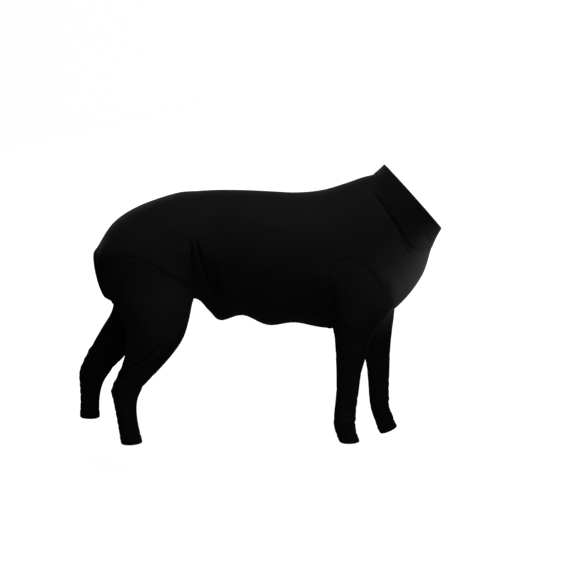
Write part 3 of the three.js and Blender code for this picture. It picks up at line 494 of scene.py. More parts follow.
def draw_net(axes):
    """Points and four-sided faces over the surface, a point in each cell that it crosses"""
    value = values_near_surface(axes)
    inside = value < 0
    shape = np.array(value.shape) - 1
    total = np.zeros(shape, np.int8)  # corners of a cell that lie inside
    for a, b, c in np.ndindex(2, 2, 2):
        total += inside[a:a + shape[0], b:b + shape[1], c:c + shape[2]]
    cells = np.stack(np.nonzero((total > 0) & (total < 8)), axis=1)
    number = np.full(shape, -1)
    number[tuple(cells.T)] = np.arange(len(cells))
    sums = np.zeros((len(cells), 3))
    counts = np.zeros(len(cells))
    faces = []
    for axis in range(3):
        step = np.eye(3, dtype=int)[axis]
        others = [np.eye(3, dtype=int)[(axis + turn) % 3] for turn in (1, 2)]
        for a, b in np.ndindex(2, 2):
            low = cells + a * others[0] + b * others[1]
            high = low + step
            from_value = value[tuple(low.T)]
            to_value = value[tuple(high.T)]
            crossed = (from_value < 0) != (to_value < 0)
            share = np.where(crossed, from_value / np.where(crossed, from_value - to_value, 1), 0)
            spot = np.stack([axes[n][low[:, n]] for n in range(3)], axis=1)
            spot[:, axis] += share * (axes[axis][high[:, axis]] - axes[axis][low[:, axis]])
            sums += spot * crossed[:, None]
            counts += crossed
        inner = [slice(1, -1)] * 3
        inner[axis] = slice(0, -1)
        ahead = list(inner)
        ahead[axis] = slice(1, None)
        here = inside[tuple(inner)]
        edges = np.stack(np.nonzero(here != inside[tuple(ahead)]), axis=1) + 1 - step
        corners = [edges - others[0] - others[1], edges - others[1], edges, edges - others[0]]
        ring = np.stack([number[tuple(corner.T)] for corner in corners], axis=1)
        leaving = inside[tuple(edges.T)]
        faces.append(np.where(leaving[:, None], ring, ring[:, ::-1]))
    return sums / counts[:, None], np.concatenate(faces)


def point_sums(index, values, count):
    """Adds up rows of values at the points that they belong to"""
    return np.stack([np.bincount(index, column, count) for column in values.T], axis=1)


def relax(points, faces):
    """Evens out the points along the surface"""
    a = faces.ravel()
    b = np.roll(faces, -1, axis=1).ravel()
    ends = np.concatenate([a, b])
    others = np.concatenate([b, a])
    middles = point_sums(ends, points[others], len(points))
    counts = np.bincount(ends, minlength=len(points))[:, None]
    return settle((points + middles / counts) / 2, 1)


def face_normals(points, faces):
    first = points[faces[:, 2]] - points[faces[:, 0]]
    second = points[faces[:, 3]] - points[faces[:, 1]]
    return np.cross(first, second)


def net_normals(points, faces):
    normals = face_normals(points, faces)
    total = point_sums(faces.ravel(), np.repeat(normals, 4, axis=0), len(points))
    return total / np.maximum(np.linalg.norm(total, axis=1, keepdims=True), TINY)


# Folds and creases

def trunk_folds(points):
    """Height of the folds of the trunk at points of the surface, and the painted shade of their
    hollows
    """
    x, y, z = points.T
    height = np.zeros(len(points))
    shade = np.zeros(len(points))
    for row in FOLDS:
        fold = dict(zip(FOLD_COLUMNS, row))
        run_x = fold["to_x"] - fold["from_x"]
        run_z = fold["to_z"] - fold["from_z"]
        length = math.hypot(run_x, run_z)
        past_x = x - fold["from_x"]
        past_z = z - fold["from_z"]
        along = (past_x * run_x + past_z * run_z) / length**2
        across = (past_x * run_z - past_z * run_x) / length
        rise = smooth_step(-FOLD_FADE, FOLD_FADE, along)
        rise = rise * smooth_step(-FOLD_FADE, FOLD_FADE, 1 - along)
        sideways = smooth_step(FOLD_FROM, FOLD_FULL, fold["side"] * y)
        form = np.exp(-(across / fold["half"])**2) * rise * sideways
        height += fold["high"] * form
        shade = np.maximum(shade, fold["dark"] * form)
    return height, shade


def leg_creases(leg, points):
    """Height of the creases of one leg, and the painted shade of their hollows"""
    run, u, v = leg.loft.place(points)
    down = np.interp(run, leg.loft.run, -(leg.loft.z + leg.loft.dz * leg.loft.deep))
    height = np.zeros(len(points))
    shade = np.zeros(len(points))
    on_leg = smooth_step(OFF_LEG, ON_LEG, leg.loft.distance(points) / NET_STEP)
    for row in leg.creases:
        crease = dict(zip(CREASE_COLUMNS, row))
        share = (u + 1) / 2
        at = crease["rear_down"] + share * (crease["front_down"] - crease["rear_down"])
        slant = (crease["front_down"] - crease["rear_down"]) * leg.sizes["drop"]
        lean = math.hypot(1, slant / (2 * leg.sizes["depth"] * SHIN_DEEP))
        across = (down - at * leg.sizes["drop"]) / lean
        ends = smooth_step(-CREASE_FADE, CREASE_FADE, u - crease["from_share"])
        ends = ends * smooth_step(-CREASE_FADE, CREASE_FADE, crease["to_share"] - u)
        facing = 1
        if crease["face"]:
            facing = smooth_step(FACE_FROM, FACE_FULL, crease["face"] * leg.side * v)
        form = np.exp(-(across / crease["half"])**2) * ends * facing * on_leg
        height += crease["high"] * form
        shade = np.maximum(shade, crease["dark"] * form)
    return height, shade


# Seams as fields, below 0 on the panel's side

def side_of_line(x, z, line):
    """Signed distance to an open line in a plane, above 0 on its left"""
    best = np.full(len(x), np.inf)
    sign = np.ones(len(x))
    for (ax, az), (bx, bz) in zip(line[:-1], line[1:]):
        run_x, run_z = bx - ax, bz - az
        f = np.clip(((x - ax) * run_x + (z - az) * run_z) / (run_x**2 + run_z**2), 0, 1)
        away = np.hypot(x - ax - f * run_x, z - az - f * run_z)
        nearer = away < best - TINY
        turn = run_x * (z - az) - run_z * (x - ax)
        sign = np.where(nearer, np.where(turn >= 0, 1, -1), sign)
        best = np.where(nearer, away, best)
    return best * sign


def scaled(rows, high):
    return [(at * SUIT_LENGTH, up * high) for at, up in rows]


def leg_field(leg, points):
    """The leg's panel: below its arched seam, and outside its inner edge or under the trunk"""
    x, y, z = points.T
    seam = smooth_line(scaled(THIGH_SEAM if leg.hind else SHOULDER_SEAM, TRUNK_DEPTH))
    if leg.hind:
        line = [(-FAR, seam[0][1]), *seam, (seam[-1][0], -FAR)]
    else:
        line = [(seam[0][0], -FAR), *seam, (SLEEVE_FRONT, seam[-1][1]), (SLEEVE_FRONT, -FAR)]
    arch = side_of_line(x, z, line)
    edge = smooth_line(scaled(GROIN_SEAM if leg.hind else ARMPIT_SEAM, TRUNK_WIDTH))
    inner = -side_of_line(x, leg.side * y, [(-FAR, edge[0][1]), *edge, (FAR, edge[-1][1])])
    under = z - (GROIN_UP if leg.hind else ARMPIT_UP)
    return np.maximum(np.maximum(arch, np.minimum(inner, under)), -leg.side * y)


def collar_field(points):
    """In front of the neck seam"""
    seam = smooth_line(scaled(NECK_SEAM, TRUNK_DEPTH))
    line = [(seam[0][0], FAR), *seam, (FAR, seam[-1][1])]
    return -side_of_line(points[:, 0], points[:, 2], line)


def end_distance(section, turn, points):
    """How far points lie inside the end of a tube, given by the section at its mouth"""
    start_x, start_z, end_x, end_z, _ = section
    out = turn * np.array([end_z - start_z, start_x - end_x])
    out /= np.hypot(*out)
    middle = np.array([start_x + end_x, start_z + end_z]) / 2
    return -(points[:, [0, 2]] - middle) @ out


def tail_tube(points):
    """Distance to a tube a little larger than the tail opening, below 0 inside"""
    start_x, start_z, end_x, end_z, wide = TRUNK.ends[1]
    length = math.hypot(end_x - start_x, end_z - start_z)
    run = (points[:, 0] - (start_x + end_x) / 2) * (end_x - start_x) / length
    run += (points[:, 2] - (start_z + end_z) / 2) * (end_z - start_z) / length
    tall = length / 2 + TAIL_ROOM
    broad = wide + TAIL_ROOM
    return (np.hypot(run / tall, points[:, 1] / broad) - 1) * min(tall, broad)


def zip_field(points):
    """The strip of the zip on the belly's middle line"""
    x, y, z = points.T
    along = np.abs(x - ZIP_AT) - ZIP_LENGTH / 2
    return np.maximum(np.maximum(along, np.abs(y) - ZIP_WIDTH / 2), z + TRUNK_DEPTH / 2)


# Nets that can be cut

MOST_CORNERS = 10


class Net:
    """Faces with up to ten corners, and a row of values for each point"""

    def __init__(self, names, rows, faces):
        self.names = names
        self.rows = rows
        self.faces = faces

    def column(self, name):
        return self.rows[:, self.names.index(name)]

    @property
    def points(self):
        return self.rows[:, :3]

    @property
    def normals(self):
        normals = self.rows[:, 3:6]
        return normals / np.linalg.norm(normals, axis=1, keepdims=True)

    def edges(self):
        """Every edge of every face, from corner to corner in order"""
        real = self.faces >= 0
        following = np.roll(self.faces, -1, axis=1)
        last = real.sum(axis=1) - 1
        following[np.arange(len(self.faces)), last] = self.faces[:, 0]
        return self.faces[real], following[real]

    def tidied(self):
        """The same net without the points that no face uses"""
        real = self.faces >= 0
        used = np.unique(self.faces[real])
        new = np.full(len(self.rows), -1)
        new[used] = np.arange(len(used))
        faces = np.where(real, new[self.faces], -1)
        return Net(self.names, self.rows[used], faces)


def padded_faces(rings):
    faces = np.full((len(rings), MOST_CORNERS), -1)
    for row, ring in enumerate(rings):
        faces[row, :len(ring)] = ring
    return faces


def snapped(net, level):
    """Moves the points nearest to a cut onto it"""
    a, b = net.edges()
    across = (level[a] < 0) != (level[b] < 0)
    a, b = a[across], b[across]
    share = level[a] / np.where(level[a] == level[b], 1, level[a] - level[b])
    start = np.concatenate([a, b])
    end = np.concatenate([b, a])
    share = np.concatenate([share, 1 - share])
    close = np.nonzero(share < SNAP)[0]
    order = close[np.argsort(-share[close])]
    rows = net.rows.copy()
    step = share[order, None]
    rows[start[order]] = net.rows[start[order]] * (1 - step) + net.rows[end[order]] * step
    level = level.copy()
    level[start[order]] = 0
    return Net(net.names, rows, net.faces), level


def split(net, name, at=0.0):
    """Cuts a net where a column passes a value, into the part below it and the part above"""
    net, level = snapped(net, net.column(name) - at)
    real = net.faces >= 0
    below = ((level[net.faces] < 0) & real).any(axis=1)
    above = ((level[net.faces] > 0) & real).any(axis=1)
    added = []
    known = {}
    lower_rings = []
    upper_rings = []

    def crossing(a, b):
        key = (min(a, b), max(a, b))
        if key not in known:
            share = level[a] / (level[a] - level[b])
            known[key] = len(net.rows) + len(added)
            added.append(net.rows[a] * (1 - share) + net.rows[b] * share)
        return known[key]

    for face in net.faces[below & above].tolist():
        ring = [p for p in face if p >= 0]
        lower = []
        upper = []
        for a, b in zip(ring, ring[1:] + ring[:1]):
            if level[a] <= 0:
                lower.append(a)
            if level[a] >= 0:
                upper.append(a)
            if level[a] * level[b] < 0:
                lower.append(crossing(a, b))
                upper.append(crossing(a, b))
        if len(lower) > 2:
            lower_rings.append(lower)
        if len(upper) > 2:
            upper_rings.append(upper)
    rows = np.concatenate([net.rows, np.array(added).reshape(-1, len(net.names))])
    lower_faces = np.concatenate([net.faces[below & ~above], padded_faces(lower_rings)])
    upper_faces = np.concatenate([net.faces[~below], padded_faces(upper_rings)])
    lower = Net(net.names, rows, lower_faces)
    upper = Net(net.names, rows, upper_faces)
    return lower.tidied(), upper.tidied()


def level_lines(net, level):
    """Lines on a net where level is 0, each as rows of values in order"""
    real = net.faces >= 0
    below = ((level[net.faces] < 0) & real).any(axis=1)
    above = ((level[net.faces] >= 0) & real).any(axis=1)
    links = {}
    for face in net.faces[below & above].tolist():
        ring = [p for p in face if p >= 0]
        marks = [(min(a, b), max(a, b)) for a, b in zip(ring, ring[1:] + ring[:1])
                 if (level[a] < 0) != (level[b] < 0)]
        if len(marks) == 2:
            links.setdefault(marks[0], []).append(marks[1])
            links.setdefault(marks[1], []).append(marks[0])
    lines = []
    todo = dict.fromkeys([mark for mark, near in links.items() if len(near) == 1] + list(links))
    while todo:
        mark = next(iter(todo))
        line = []
        while mark is not None:
            todo.pop(mark)
            line.append(mark)
            mark = next((near for near in links[mark] if near in todo), None)
        closed = len(line) > 2 and line[0] in links[line[-1]]
        a, b = np.array(line).T
        share = (level[a] / (level[a] - level[b]))[:, None]
        rows = net.rows[a] * (1 - share) + net.rows[b] * share
        lines.append(np.concatenate([rows, rows[:1]]) if closed else rows)
    return lines


# The dressed net: form, folds and the fields of all seams

CARRIED = ("x", "y", "z", "nx", "ny", "nz", "shade", "collar", "rim", "tail", "tail_end", "zip")


def dressed_net():
    low = np.min([TRUNK.low, *[leg.loft.low for leg in LEGS]], axis=0) - 2 * NET_STEP
    high = np.max([TRUNK.high, *[leg.loft.high for leg in LEGS]], axis=0) + JOINT_BLEND / 2
    axes = (
        net_lines([(low[0], NET_STEP), (FLANK_FROM, FLANK_STEP), (FLANK_TO, NET_STEP)], high[0]),
        net_lines([(low[1] - JOINT_BLEND / 2, NET_STEP)], high[1]),
        net_lines([(low[2], SHIN_STEP), (SHIN_TOP, NET_STEP)], high[2]),
    )
    points, faces = draw_net(axes)
    points = relax(settle(points, 2), faces)
    normals = slope_of(suit_distance, points)
    normals /= np.linalg.norm(normals, axis=1, keepdims=True)
    # painted shade: the hollows of folds and creases are darkened in the cloth's colour
    height, shade = trunk_folds(points)
    for leg in LEGS:
        more, dark = leg_creases(leg, points)
        height += more
        shade = np.maximum(shade, dark)
    folded = points + normals * height[:, None]
    rim = end_distance(TRUNK.ends[-2], -1, points)
    tail_end = end_distance(TRUNK.ends[1], 1, points)
    tail = np.maximum(tail_end - TAIL_HEM_WIDTH, tail_tube(points))
    fields = [collar_field(points), rim, tail, tail_end, zip_field(points)]
    names = list(CARRIED)
    for leg in LEGS:
        names += [leg.panel, leg.cuff]
        fields += [leg_field(leg, points), end_distance(leg.loft.ends[-2], 1, points)]
    columns = [folded, net_normals(folded, faces), shade[:, None], np.stack(fields, axis=1)]
    wide = np.full((len(faces), MOST_CORNERS), -1)
    wide[:, :4] = faces
    return Net(names, np.concatenate(columns, axis=1), wide)


# Panels of the suit

SEAM_DEPTH = 0.0008  # how far the cloth is drawn in at a seam
SEAM_REACH = 0.0019  # how far from the seam that is felt
SEAM_SHADE = 0.6  # painted shade: how much the seam's groove is darkened in the cloth's colour
SEAM_MARKS = 6  # places looked at along each short edge of a seam
SEAM_GAP = 0.00016  # between the two cloths of a seam, each side
RIM_STEPS = 3  # round the edge of the cloth
STITCH_ROW = 0.0020  # from a seam to its row of stitches
COVER_ROWS = (0.0095, 0.0118)  # rows of stitches of a cuff, from its end
COLLAR_ROWS = (0.0105, 0.0130)  # the same of the collar
TAIL_ROWS = (0.0060, 0.0082)  # the same of the tail opening
SHARP_EDGE = 62  # degrees, sharper edges keep their crease in the shading
LEAST_CUT = 0.012  # the shortest strip of cloth that a hem was cut from


class Panel:
    """A piece of the suit: its net, what lies next to it, and how it is sewn"""

    def __init__(self, node, net, loft, slot, lift, sink):
        self.node = node
        self.net = net
        self.loft = loft
        self.slot = slot
        self.lift = lift
        self.sink = sink
        self.free = []  # columns that are 0 at an open edge
        self.rows = []  # columns and values where stitches run


def single(node, net, loft, slot="jersey"):
    return Panel(node, net, loft, slot, 0, CLOTH)


def doubled(node, net, loft, slot="doubled_jersey"):
    return Panel(node, net, loft, slot, TURNED, CLOTH + TURNED)


def cut_panels(net):
    """Cuts the dressed net into the panels that the suit is sewn from"""
    panels = []
    rest = net
    for leg in LEGS:
        whole, rest = split(rest, leg.panel)
        _, whole = split(whole, leg.cuff)
        cuff, panel = split(whole, leg.cuff, HEM_WIDTH)
        panel = single(leg.panel, panel, leg.loft)
        panel.rows.append((leg.panel, -STITCH_ROW))
        cuff = doubled(leg.cuff, cuff, leg.loft)
        cuff.free.append(leg.cuff)
        cuff.rows += [(leg.cuff, row) for row in COVER_ROWS]
        panels += [panel, cuff]
    collar, rest = split(rest, "collar")
    _, collar = split(collar, "rim")
    collar = doubled("collar", collar, TRUNK)
    collar.free.append("rim")
    collar.rows += [("collar", -STITCH_ROW), *[("rim", row) for row in COLLAR_ROWS]]
    _, rest = split(rest, "tail_end")
    hem, rest = split(rest, "tail")
    hem = doubled("tail_hem", hem, TRUNK)
    hem.free.append("tail_end")
    hem.rows += [("tail_end", row) for row in TAIL_ROWS]
    strip, torso = split(rest, "zip")
    strip = single("belly_zip", strip, TRUNK, "zip_tape")
    torso = single("torso", torso, TRUNK)
    torso.rows += [(column, STITCH_ROW) for column in ("collar", "tail", "zip")]
    torso.rows += [(leg.panel, STITCH_ROW) for leg in LEGS]
    torso.free.append("tail_end")
    return panels + [collar, hem, strip, torso]


def boundary(net):
    """The edges that have a face on one side only, in the order of that face"""
    a, b = net.edges()
    size = len(net.rows)
    lonely = ~np.isin(a * size + b, b * size + a)
    return a[lonely], b[lonely]


def sideways_out(net, a, b):
    """At each point of the edge, the direction in the cloth that leads away from it"""
    across = np.cross(net.points[b] - net.points[a], net.normals[a])
    total = point_sums(np.concatenate([a, b]), np.concatenate([across, across]), len(net.rows))
    return total / np.maximum(np.linalg.norm(total, axis=1, keepdims=True), TINY)


def knit_corners(loft, points, faces):
    """Distance round and along the limb at each corner, for the knit"""
    run, across, side = loft.place(points)
    turn = (np.arctan2(side, across) / (2 * math.pi))[np.maximum(faces, 0)]
    turn -= np.round(turn - turn[:, :1])
    corners = np.stack([turn * loft.girth, run[np.maximum(faces, 0)]], axis=-1)
    return corners[faces >= 0]


def make_mesh(name, points, faces, material, loft=None, shade=None):
    real = faces >= 0
    counts = real.sum(axis=1)
    mesh = bpy.data.meshes.new(name)
    mesh.vertices.add(len(points))
    mesh.vertices.foreach_set("co", points.ravel())
    mesh.loops.add(int(counts.sum()))
    mesh.loops.foreach_set("vertex_index", faces[real])
    mesh.polygons.add(len(faces))
    mesh.polygons.foreach_set("loop_start", np.cumsum(counts) - counts)
    mesh.update(calc_edges=True)
    if loft is not None:
        layer = mesh.uv_layers.new(name="Knit")
        layer.data.foreach_set("uv", knit_corners(loft, points, faces).ravel())
    # painted shade of hollows and seams, which the cloth's material turns into darker colour
    if shade is not None:
        layer = mesh.attributes.new("shade", "FLOAT", "POINT")
        layer.data.foreach_set("value", shade)
    mesh.materials.append(material)
    mesh.shade_smooth()
    obj = bpy.data.objects.new(name, mesh)
    bpy.context.scene.collection.objects.link(obj)
    return obj


def drawn_in(net, a, b):
    """How far each point is drawn in by the nearest of these sewn edges, 1 on the seam itself"""
    share = (np.arange(SEAM_MARKS) / SEAM_MARKS)[None, :, None]
    marks = (net.points[a][:, None] * (1 - share) + net.points[b][:, None] * share).reshape(-1, 3)
    tree = KDTree(len(marks))
    for i, mark in enumerate(marks):
        tree.insert(Vector(mark), i)
    tree.balance()
    away = np.array([tree.find(Vector(point))[2] for point in net.points])
    return np.exp(-(away / SEAM_REACH)**2)


def sew_panel(panel, material):
    """A closed body with the thickness of the cloth, round at open edges and drawn in at seams"""
    net = panel.net
    count = len(net.rows)
    a, b = boundary(net)
    away = sideways_out(net, a, b)
    near_end = [np.abs(net.column(column)) < ON_CUT for column in panel.free]
    open_edge = np.any(near_end, axis=0) if near_end else np.zeros(count, bool)
    sewn = ~(open_edge[a] & open_edge[b])
    drawn = drawn_in(net, a[sewn], b[sewn])
    on_seam = np.zeros(count, bool)
    on_seam[a] = ~open_edge[a]
    base = net.points - away * (SEAM_GAP * on_seam)[:, None]
    outer = base + net.normals * (panel.lift - SEAM_DEPTH * drawn)[:, None]
    inner = base - net.normals * (panel.sink + SEAM_DEPTH * drawn)[:, None]
    edge = np.unique(a)
    place = np.full(count, -1)
    place[edge] = np.arange(len(edge))
    layers = [outer, inner]
    half = (outer - inner)[edge] / 2
    middle = (outer + inner)[edge] / 2
    bulge = away[edge] * (np.linalg.norm(half, axis=1) * open_edge[edge])[:, None]
    tops = [a]
    bottoms = [b]
    for step in range(1, RIM_STEPS):
        angle = math.pi * step / RIM_STEPS
        tops.append(2 * count + (step - 1) * len(edge) + place[a])
        bottoms.append(2 * count + (step - 1) * len(edge) + place[b])
        layers.append(middle + half * math.cos(angle) + bulge * math.sin(angle))
    tops.append(count + a)
    bottoms.append(count + b)
    rim = np.full((len(a) * RIM_STEPS, MOST_CORNERS), -1)
    for step in range(RIM_STEPS):
        ring = np.stack([bottoms[step], tops[step], tops[step + 1], bottoms[step + 1]], axis=1)
        rim[step * len(a):(step + 1) * len(a), :4] = ring
    real = net.faces >= 0
    order = real.sum(axis=1)[:, None] - 1 - np.arange(MOST_CORNERS)
    turned = np.take_along_axis(net.faces, np.maximum(order, 0), axis=1)
    back = np.where(order >= 0, turned + count, -1)
    faces = np.concatenate([net.faces, back, rim])
    points = np.concatenate(layers)
    # painted shade along the seams' grooves, added to the painted shade of the folds' hollows
    shade = np.maximum(net.column("shade"), SEAM_SHADE * drawn * ~open_edge)
    shade = np.concatenate([shade, shade] + [shade[edge]] * (RIM_STEPS - 1))
    shade = np.clip(shade, 0, 1)
    cloth = make_mesh(f"{panel.node}_cloth", points, faces, material, panel.loft, shade)
    cloth.data.set_sharp_from_angle(angle=math.radians(SHARP_EDGE))
    return cloth


def net_area(net):
    """Area of a net, worked out in triangles"""
    corner = net.points[net.faces[:, 0]]
    total = 0
    for i in range(1, MOST_CORNERS - 1):
        live = net.faces[:, i + 1] >= 0
        first = net.points[net.faces[live, i]] - corner[live]
        second = net.points[net.faces[live, i + 1]] - corner[live]
        total += np.linalg.norm(np.cross(first, second), axis=1).sum() / 2
    return total


def cut_size(panel):
    """Width and length of the flat cloth. It lies smoothly, so none of it is lost in folds"""
    run = panel.loft.place(panel.net.points)[0]
    length = max(run.max() - run.min(), LEAST_CUT)
    return net_area(panel.net) / length, length


# Stitches

STITCH_PITCH = 0.0026
STITCH_LENGTH = 0.0021
STITCH_RADIUS = 0.00021
STITCH_SIDES = 5
# Along a stitch: share of its length, thickness and rise, shares of its radius
STITCH_RINGS = ((0.0, 0.0, -1.0), (0.22, 1.0, 0.35), (0.78, 1.0, 0.35), (1.0, 0.0, -1.0))


def spaced(rows, pitch):
    """Places along a line at even steps: position, direction and normal"""
    points = rows[:, :3]
    steps = np.linalg.norm(np.diff(points, axis=0), axis=1)
    run = np.concatenate([[0], np.cumsum(steps)])
    if run[-1] < 2 * pitch:
        return np.zeros((0, 9))
    at = np.arange(0.5, math.floor(run[-1] / pitch)) * pitch
    here = np.stack([np.interp(at, run, column) for column in rows[:, :6].T], axis=1)
    ahead = np.stack([np.interp(at + pitch / 4, run, column) for column in points.T], axis=1)
    behind = np.stack([np.interp(at - pitch / 4, run, column) for column in points.T], axis=1)
    way = ahead - behind
    way /= np.maximum(np.linalg.norm(way, axis=1, keepdims=True), SMALL)
    normal = here[:, 3:]
    normal = normal / np.linalg.norm(normal, axis=1, keepdims=True)
    return np.concatenate([here[:, :3], way, normal], axis=1)


def threads(places, length, radius, lift):
    """Short rounded threads, one at each place, sunk into the cloth at both ends"""
    count = len(places)
    middle, way, normal = places[:, None, :3], places[:, None, 3:6], places[:, None, 6:]
    side = np.cross(way, normal)
    rings = []
    for share, size, rise in STITCH_RINGS:
        centre = middle + way * (length * (share - 0.5)) + normal * (lift + radius * rise)
        if size == 0:
            rings.append(centre)
            continue
        turn = 2 * math.pi * np.arange(STITCH_SIDES) / STITCH_SIDES
        spread = side * np.cos(turn)[None, :, None] + normal * np.sin(turn)[None, :, None]
        rings.append(centre + spread * radius * size)
    points = np.concatenate(rings, axis=1)
    size = points.shape[1]
    faces = []
    for i in range(STITCH_SIDES):
        j = (i + 1) % STITCH_SIDES
        first, following = 1 + i, 1 + j
        faces.append([0, following, first, -1])
        faces.append([first, following, following + STITCH_SIDES, first + STITCH_SIDES])
        faces.append([first + STITCH_SIDES, following + STITCH_SIDES, size - 1, -1])
    faces = np.array(faces)
    whole = np.where(faces >= 0, faces[None] + size * np.arange(count)[:, None, None], -1)
    return points.reshape(-1, 3), whole.reshape(-1, 4)


def sew_stitches(panel, material):
    places = []
    for column, at in panel.rows:
        for line in level_lines(panel.net, panel.net.column(column) - at):
            places.append(spaced(line, STITCH_PITCH))
    places = np.concatenate(places)
    points, faces = threads(places, STITCH_LENGTH, STITCH_RADIUS, panel.lift)
    return make_mesh(f"{panel.node}_stitches", points, faces, material)


# The zip on the belly

TOOTH_PITCH = 0.0015
TOOTH_LENGTH = 0.0034
TOOTH_RADIUS = 0.00055
TOOTH_ASIDE = 0.22  # how far a loop sits from the middle, share of its length
TOOTH_RISE = 0.4  # how far it stands off the tape, share of its radius
SLIDER = (0.0095, 0.0068, 0.0026)  # length, width and height
SLIDER_AT = 0.93  # along the zip
SLIDER_SLICES = 12
SLIDER_SIDES = 16
SLIDER_WAIST = 0.28  # how much slimmer its middle is
SLIDER_SQUARE = 0.6  # 1 would be oval, 0 a box
SLIDER_TIP = 0.02  # least size of its rounded ends


def make_coil(strip, material):
    """Moulded loops on both tapes that hook into each other along the middle"""
    line = max(level_lines(strip.net, strip.net.column("y")), key=len)
    places = spaced(line, TOOTH_PITCH)
    way = places[:, 3:6]
    normal = places[:, 6:]
    across = np.cross(normal, way)
    turn_about = np.where(np.arange(len(places)) % 2 == 0, 1, -1)[:, None]
    offset = turn_about * TOOTH_LENGTH * TOOTH_ASIDE
    hooks = np.concatenate([places[:, :3] + across * offset, across, normal], axis=1)
    points, faces = threads(hooks, TOOTH_LENGTH, TOOTH_RADIUS, TOOTH_RADIUS * TOOTH_RISE)
    return make_mesh("belly_zip_coil", points, faces, material), places


def squared(wave):
    return np.sign(wave) * np.abs(wave)**SLIDER_SQUARE


def make_slider(places, material):
    """The closed zip's slider: a waisted body, squared in section, with rounded ends"""
    place = places[np.argsort(places[:, 0])][int(SLIDER_AT * (len(places) - 1))]
    way, normal = place[3:6], place[6:]
    side = np.cross(way, normal)
    length, width, height = SLIDER
    stations = np.linspace(-1, 1, SLIDER_SLICES + 1)
    turn = 2 * math.pi * np.arange(SLIDER_SIDES) / SLIDER_SIDES
    waist = 1 - SLIDER_WAIST * np.cos(stations * math.pi / 2)**4
    close = np.sqrt(np.clip(1 - np.abs(stations)**5, SLIDER_TIP, 1))
    square_cos = squared(np.cos(turn))
    square_sin = squared(np.sin(turn))
    points = []
    for at, slim, end in zip(stations, waist, close):
        centre = place[:3] + way * at * length / 2 + normal * height * 0.5
        points.append(centre + side * (width / 2 * slim * end * square_cos)[:, None]
                      + normal * (height / 2 * end * square_sin)[:, None])
    points = np.concatenate(points)
    skin = SLIDER_SLICES * SLIDER_SIDES
    faces = np.full((skin + 2, SLIDER_SIDES), -1)
    for here in range(0, skin, SLIDER_SIDES):
        ahead = here + SLIDER_SIDES
        for i in range(SLIDER_SIDES):
            j = (i + 1) % SLIDER_SIDES
            faces[here + i, :4] = [here + i, ahead + i, ahead + j, here + j]
    faces[-2] = np.arange(SLIDER_SIDES)
    faces[-1] = skin + np.arange(SLIDER_SIDES)[::-1]
    return make_mesh("belly_zip_slider", points, faces, material)


# Materials

KNIT_WAVE = 0.35  # height of the loops' slant beside their ribs
CLOUD_SCALE = 42  # of the faint change of colour
CLOUD_DETAIL = 5
HOLLOW_DARK = 0.8  # painted shade: how much darker the colour is in the deepest hollow


def new_group(name, inputs, outputs):
    """A node group with named sockets, its input node and its output node"""
    group = bpy.data.node_groups.new(name, "ShaderNodeTree")
    for label, kind, value in inputs:
        socket = group.interface.new_socket(label, in_out="INPUT", socket_type=kind)
        if value is not None:
            socket.default_value = value
    for label, kind in outputs:
        group.interface.new_socket(label, in_out="OUTPUT", socket_type=kind)
    return group, group.nodes.new("NodeGroupInput"), group.nodes.new("NodeGroupOutput")


def chain(tree, operation, first, second=None):
    """A math node fed by sockets or numbers"""
    node = tree.nodes.new("ShaderNodeMath")
    node.operation = operation
    for socket, value in zip(node.inputs, (first, second)):
        if isinstance(value, bpy.types.NodeSocket):
            tree.links.new(value, socket)
        elif value is not None:
            socket.default_value = value
    return node.outputs[0]


def knit_group():
    """Rows of small V-shaped loops along the cloth, as a height"""
    group, given, result = new_group(
        "Knit", [("Place", "NodeSocketVector", None), ("Loop Width", "NodeSocketFloat", 0.0011)],
        [("Height", "NodeSocketFloat")])
    parts = group.nodes.new("ShaderNodeSeparateXYZ")
    group.links.new(given.outputs["Place"], parts.inputs[0])
    column = chain(group, "DIVIDE", parts.outputs["X"], given.outputs["Loop Width"])
    course = chain(group, "DIVIDE", parts.outputs["Y"], given.outputs["Loop Width"])
    half = chain(group, "ABSOLUTE", chain(group, "SUBTRACT", chain(group, "FRACT", column), 0.5))
    slant = chain(group, "MULTIPLY", chain(group, "ADD", course, half), 2 * math.pi)
    wave = chain(group, "MULTIPLY", chain(group, "SINE", slant), KNIT_WAVE)
    rib = chain(group, "SINE", chain(group, "MULTIPLY", half, 2 * math.pi))
    group.links.new(chain(group, "ADD", wave, rib), result.inputs["Height"])
    return group


def colour_group():
    """Dyed cloth: faint cloudy change over the garment, and painted shade that darkens seams and
    hollows
    """
    group, given, result = new_group(
        "Dyed Cloth", [("Color", "NodeSocketColor", None), ("Shade", "NodeSocketFloat", 0.0),
                       ("Change", "NodeSocketFloat", 0.9)],
        [("Color", "NodeSocketColor")])
    place = group.nodes.new("ShaderNodeTexCoord")
    noise = group.nodes.new("ShaderNodeTexNoise")
    noise.inputs["Scale"].default_value = CLOUD_SCALE
    noise.inputs["Detail"].default_value = CLOUD_DETAIL
    group.links.new(place.outputs["Object"], noise.inputs["Vector"])
    cloud = chain(group, "MULTIPLY", chain(group, "SUBTRACT", noise.outputs["Fac"], 0.5),
                  given.outputs["Change"])
    # painted shade, from the shade attribute of hollows and seams
    dark = chain(group, "MULTIPLY", given.outputs["Shade"], HOLLOW_DARK)
    factor = chain(group, "SUBTRACT", chain(group, "ADD", cloud, 1.0), dark)
    scale = group.nodes.new("ShaderNodeVectorMath")
    scale.operation = "SCALE"
    group.links.new(given.outputs["Color"], scale.inputs[0])
    group.links.new(factor, scale.inputs["Scale"])
    group.links.new(scale.outputs[0], result.inputs["Color"])
    return group


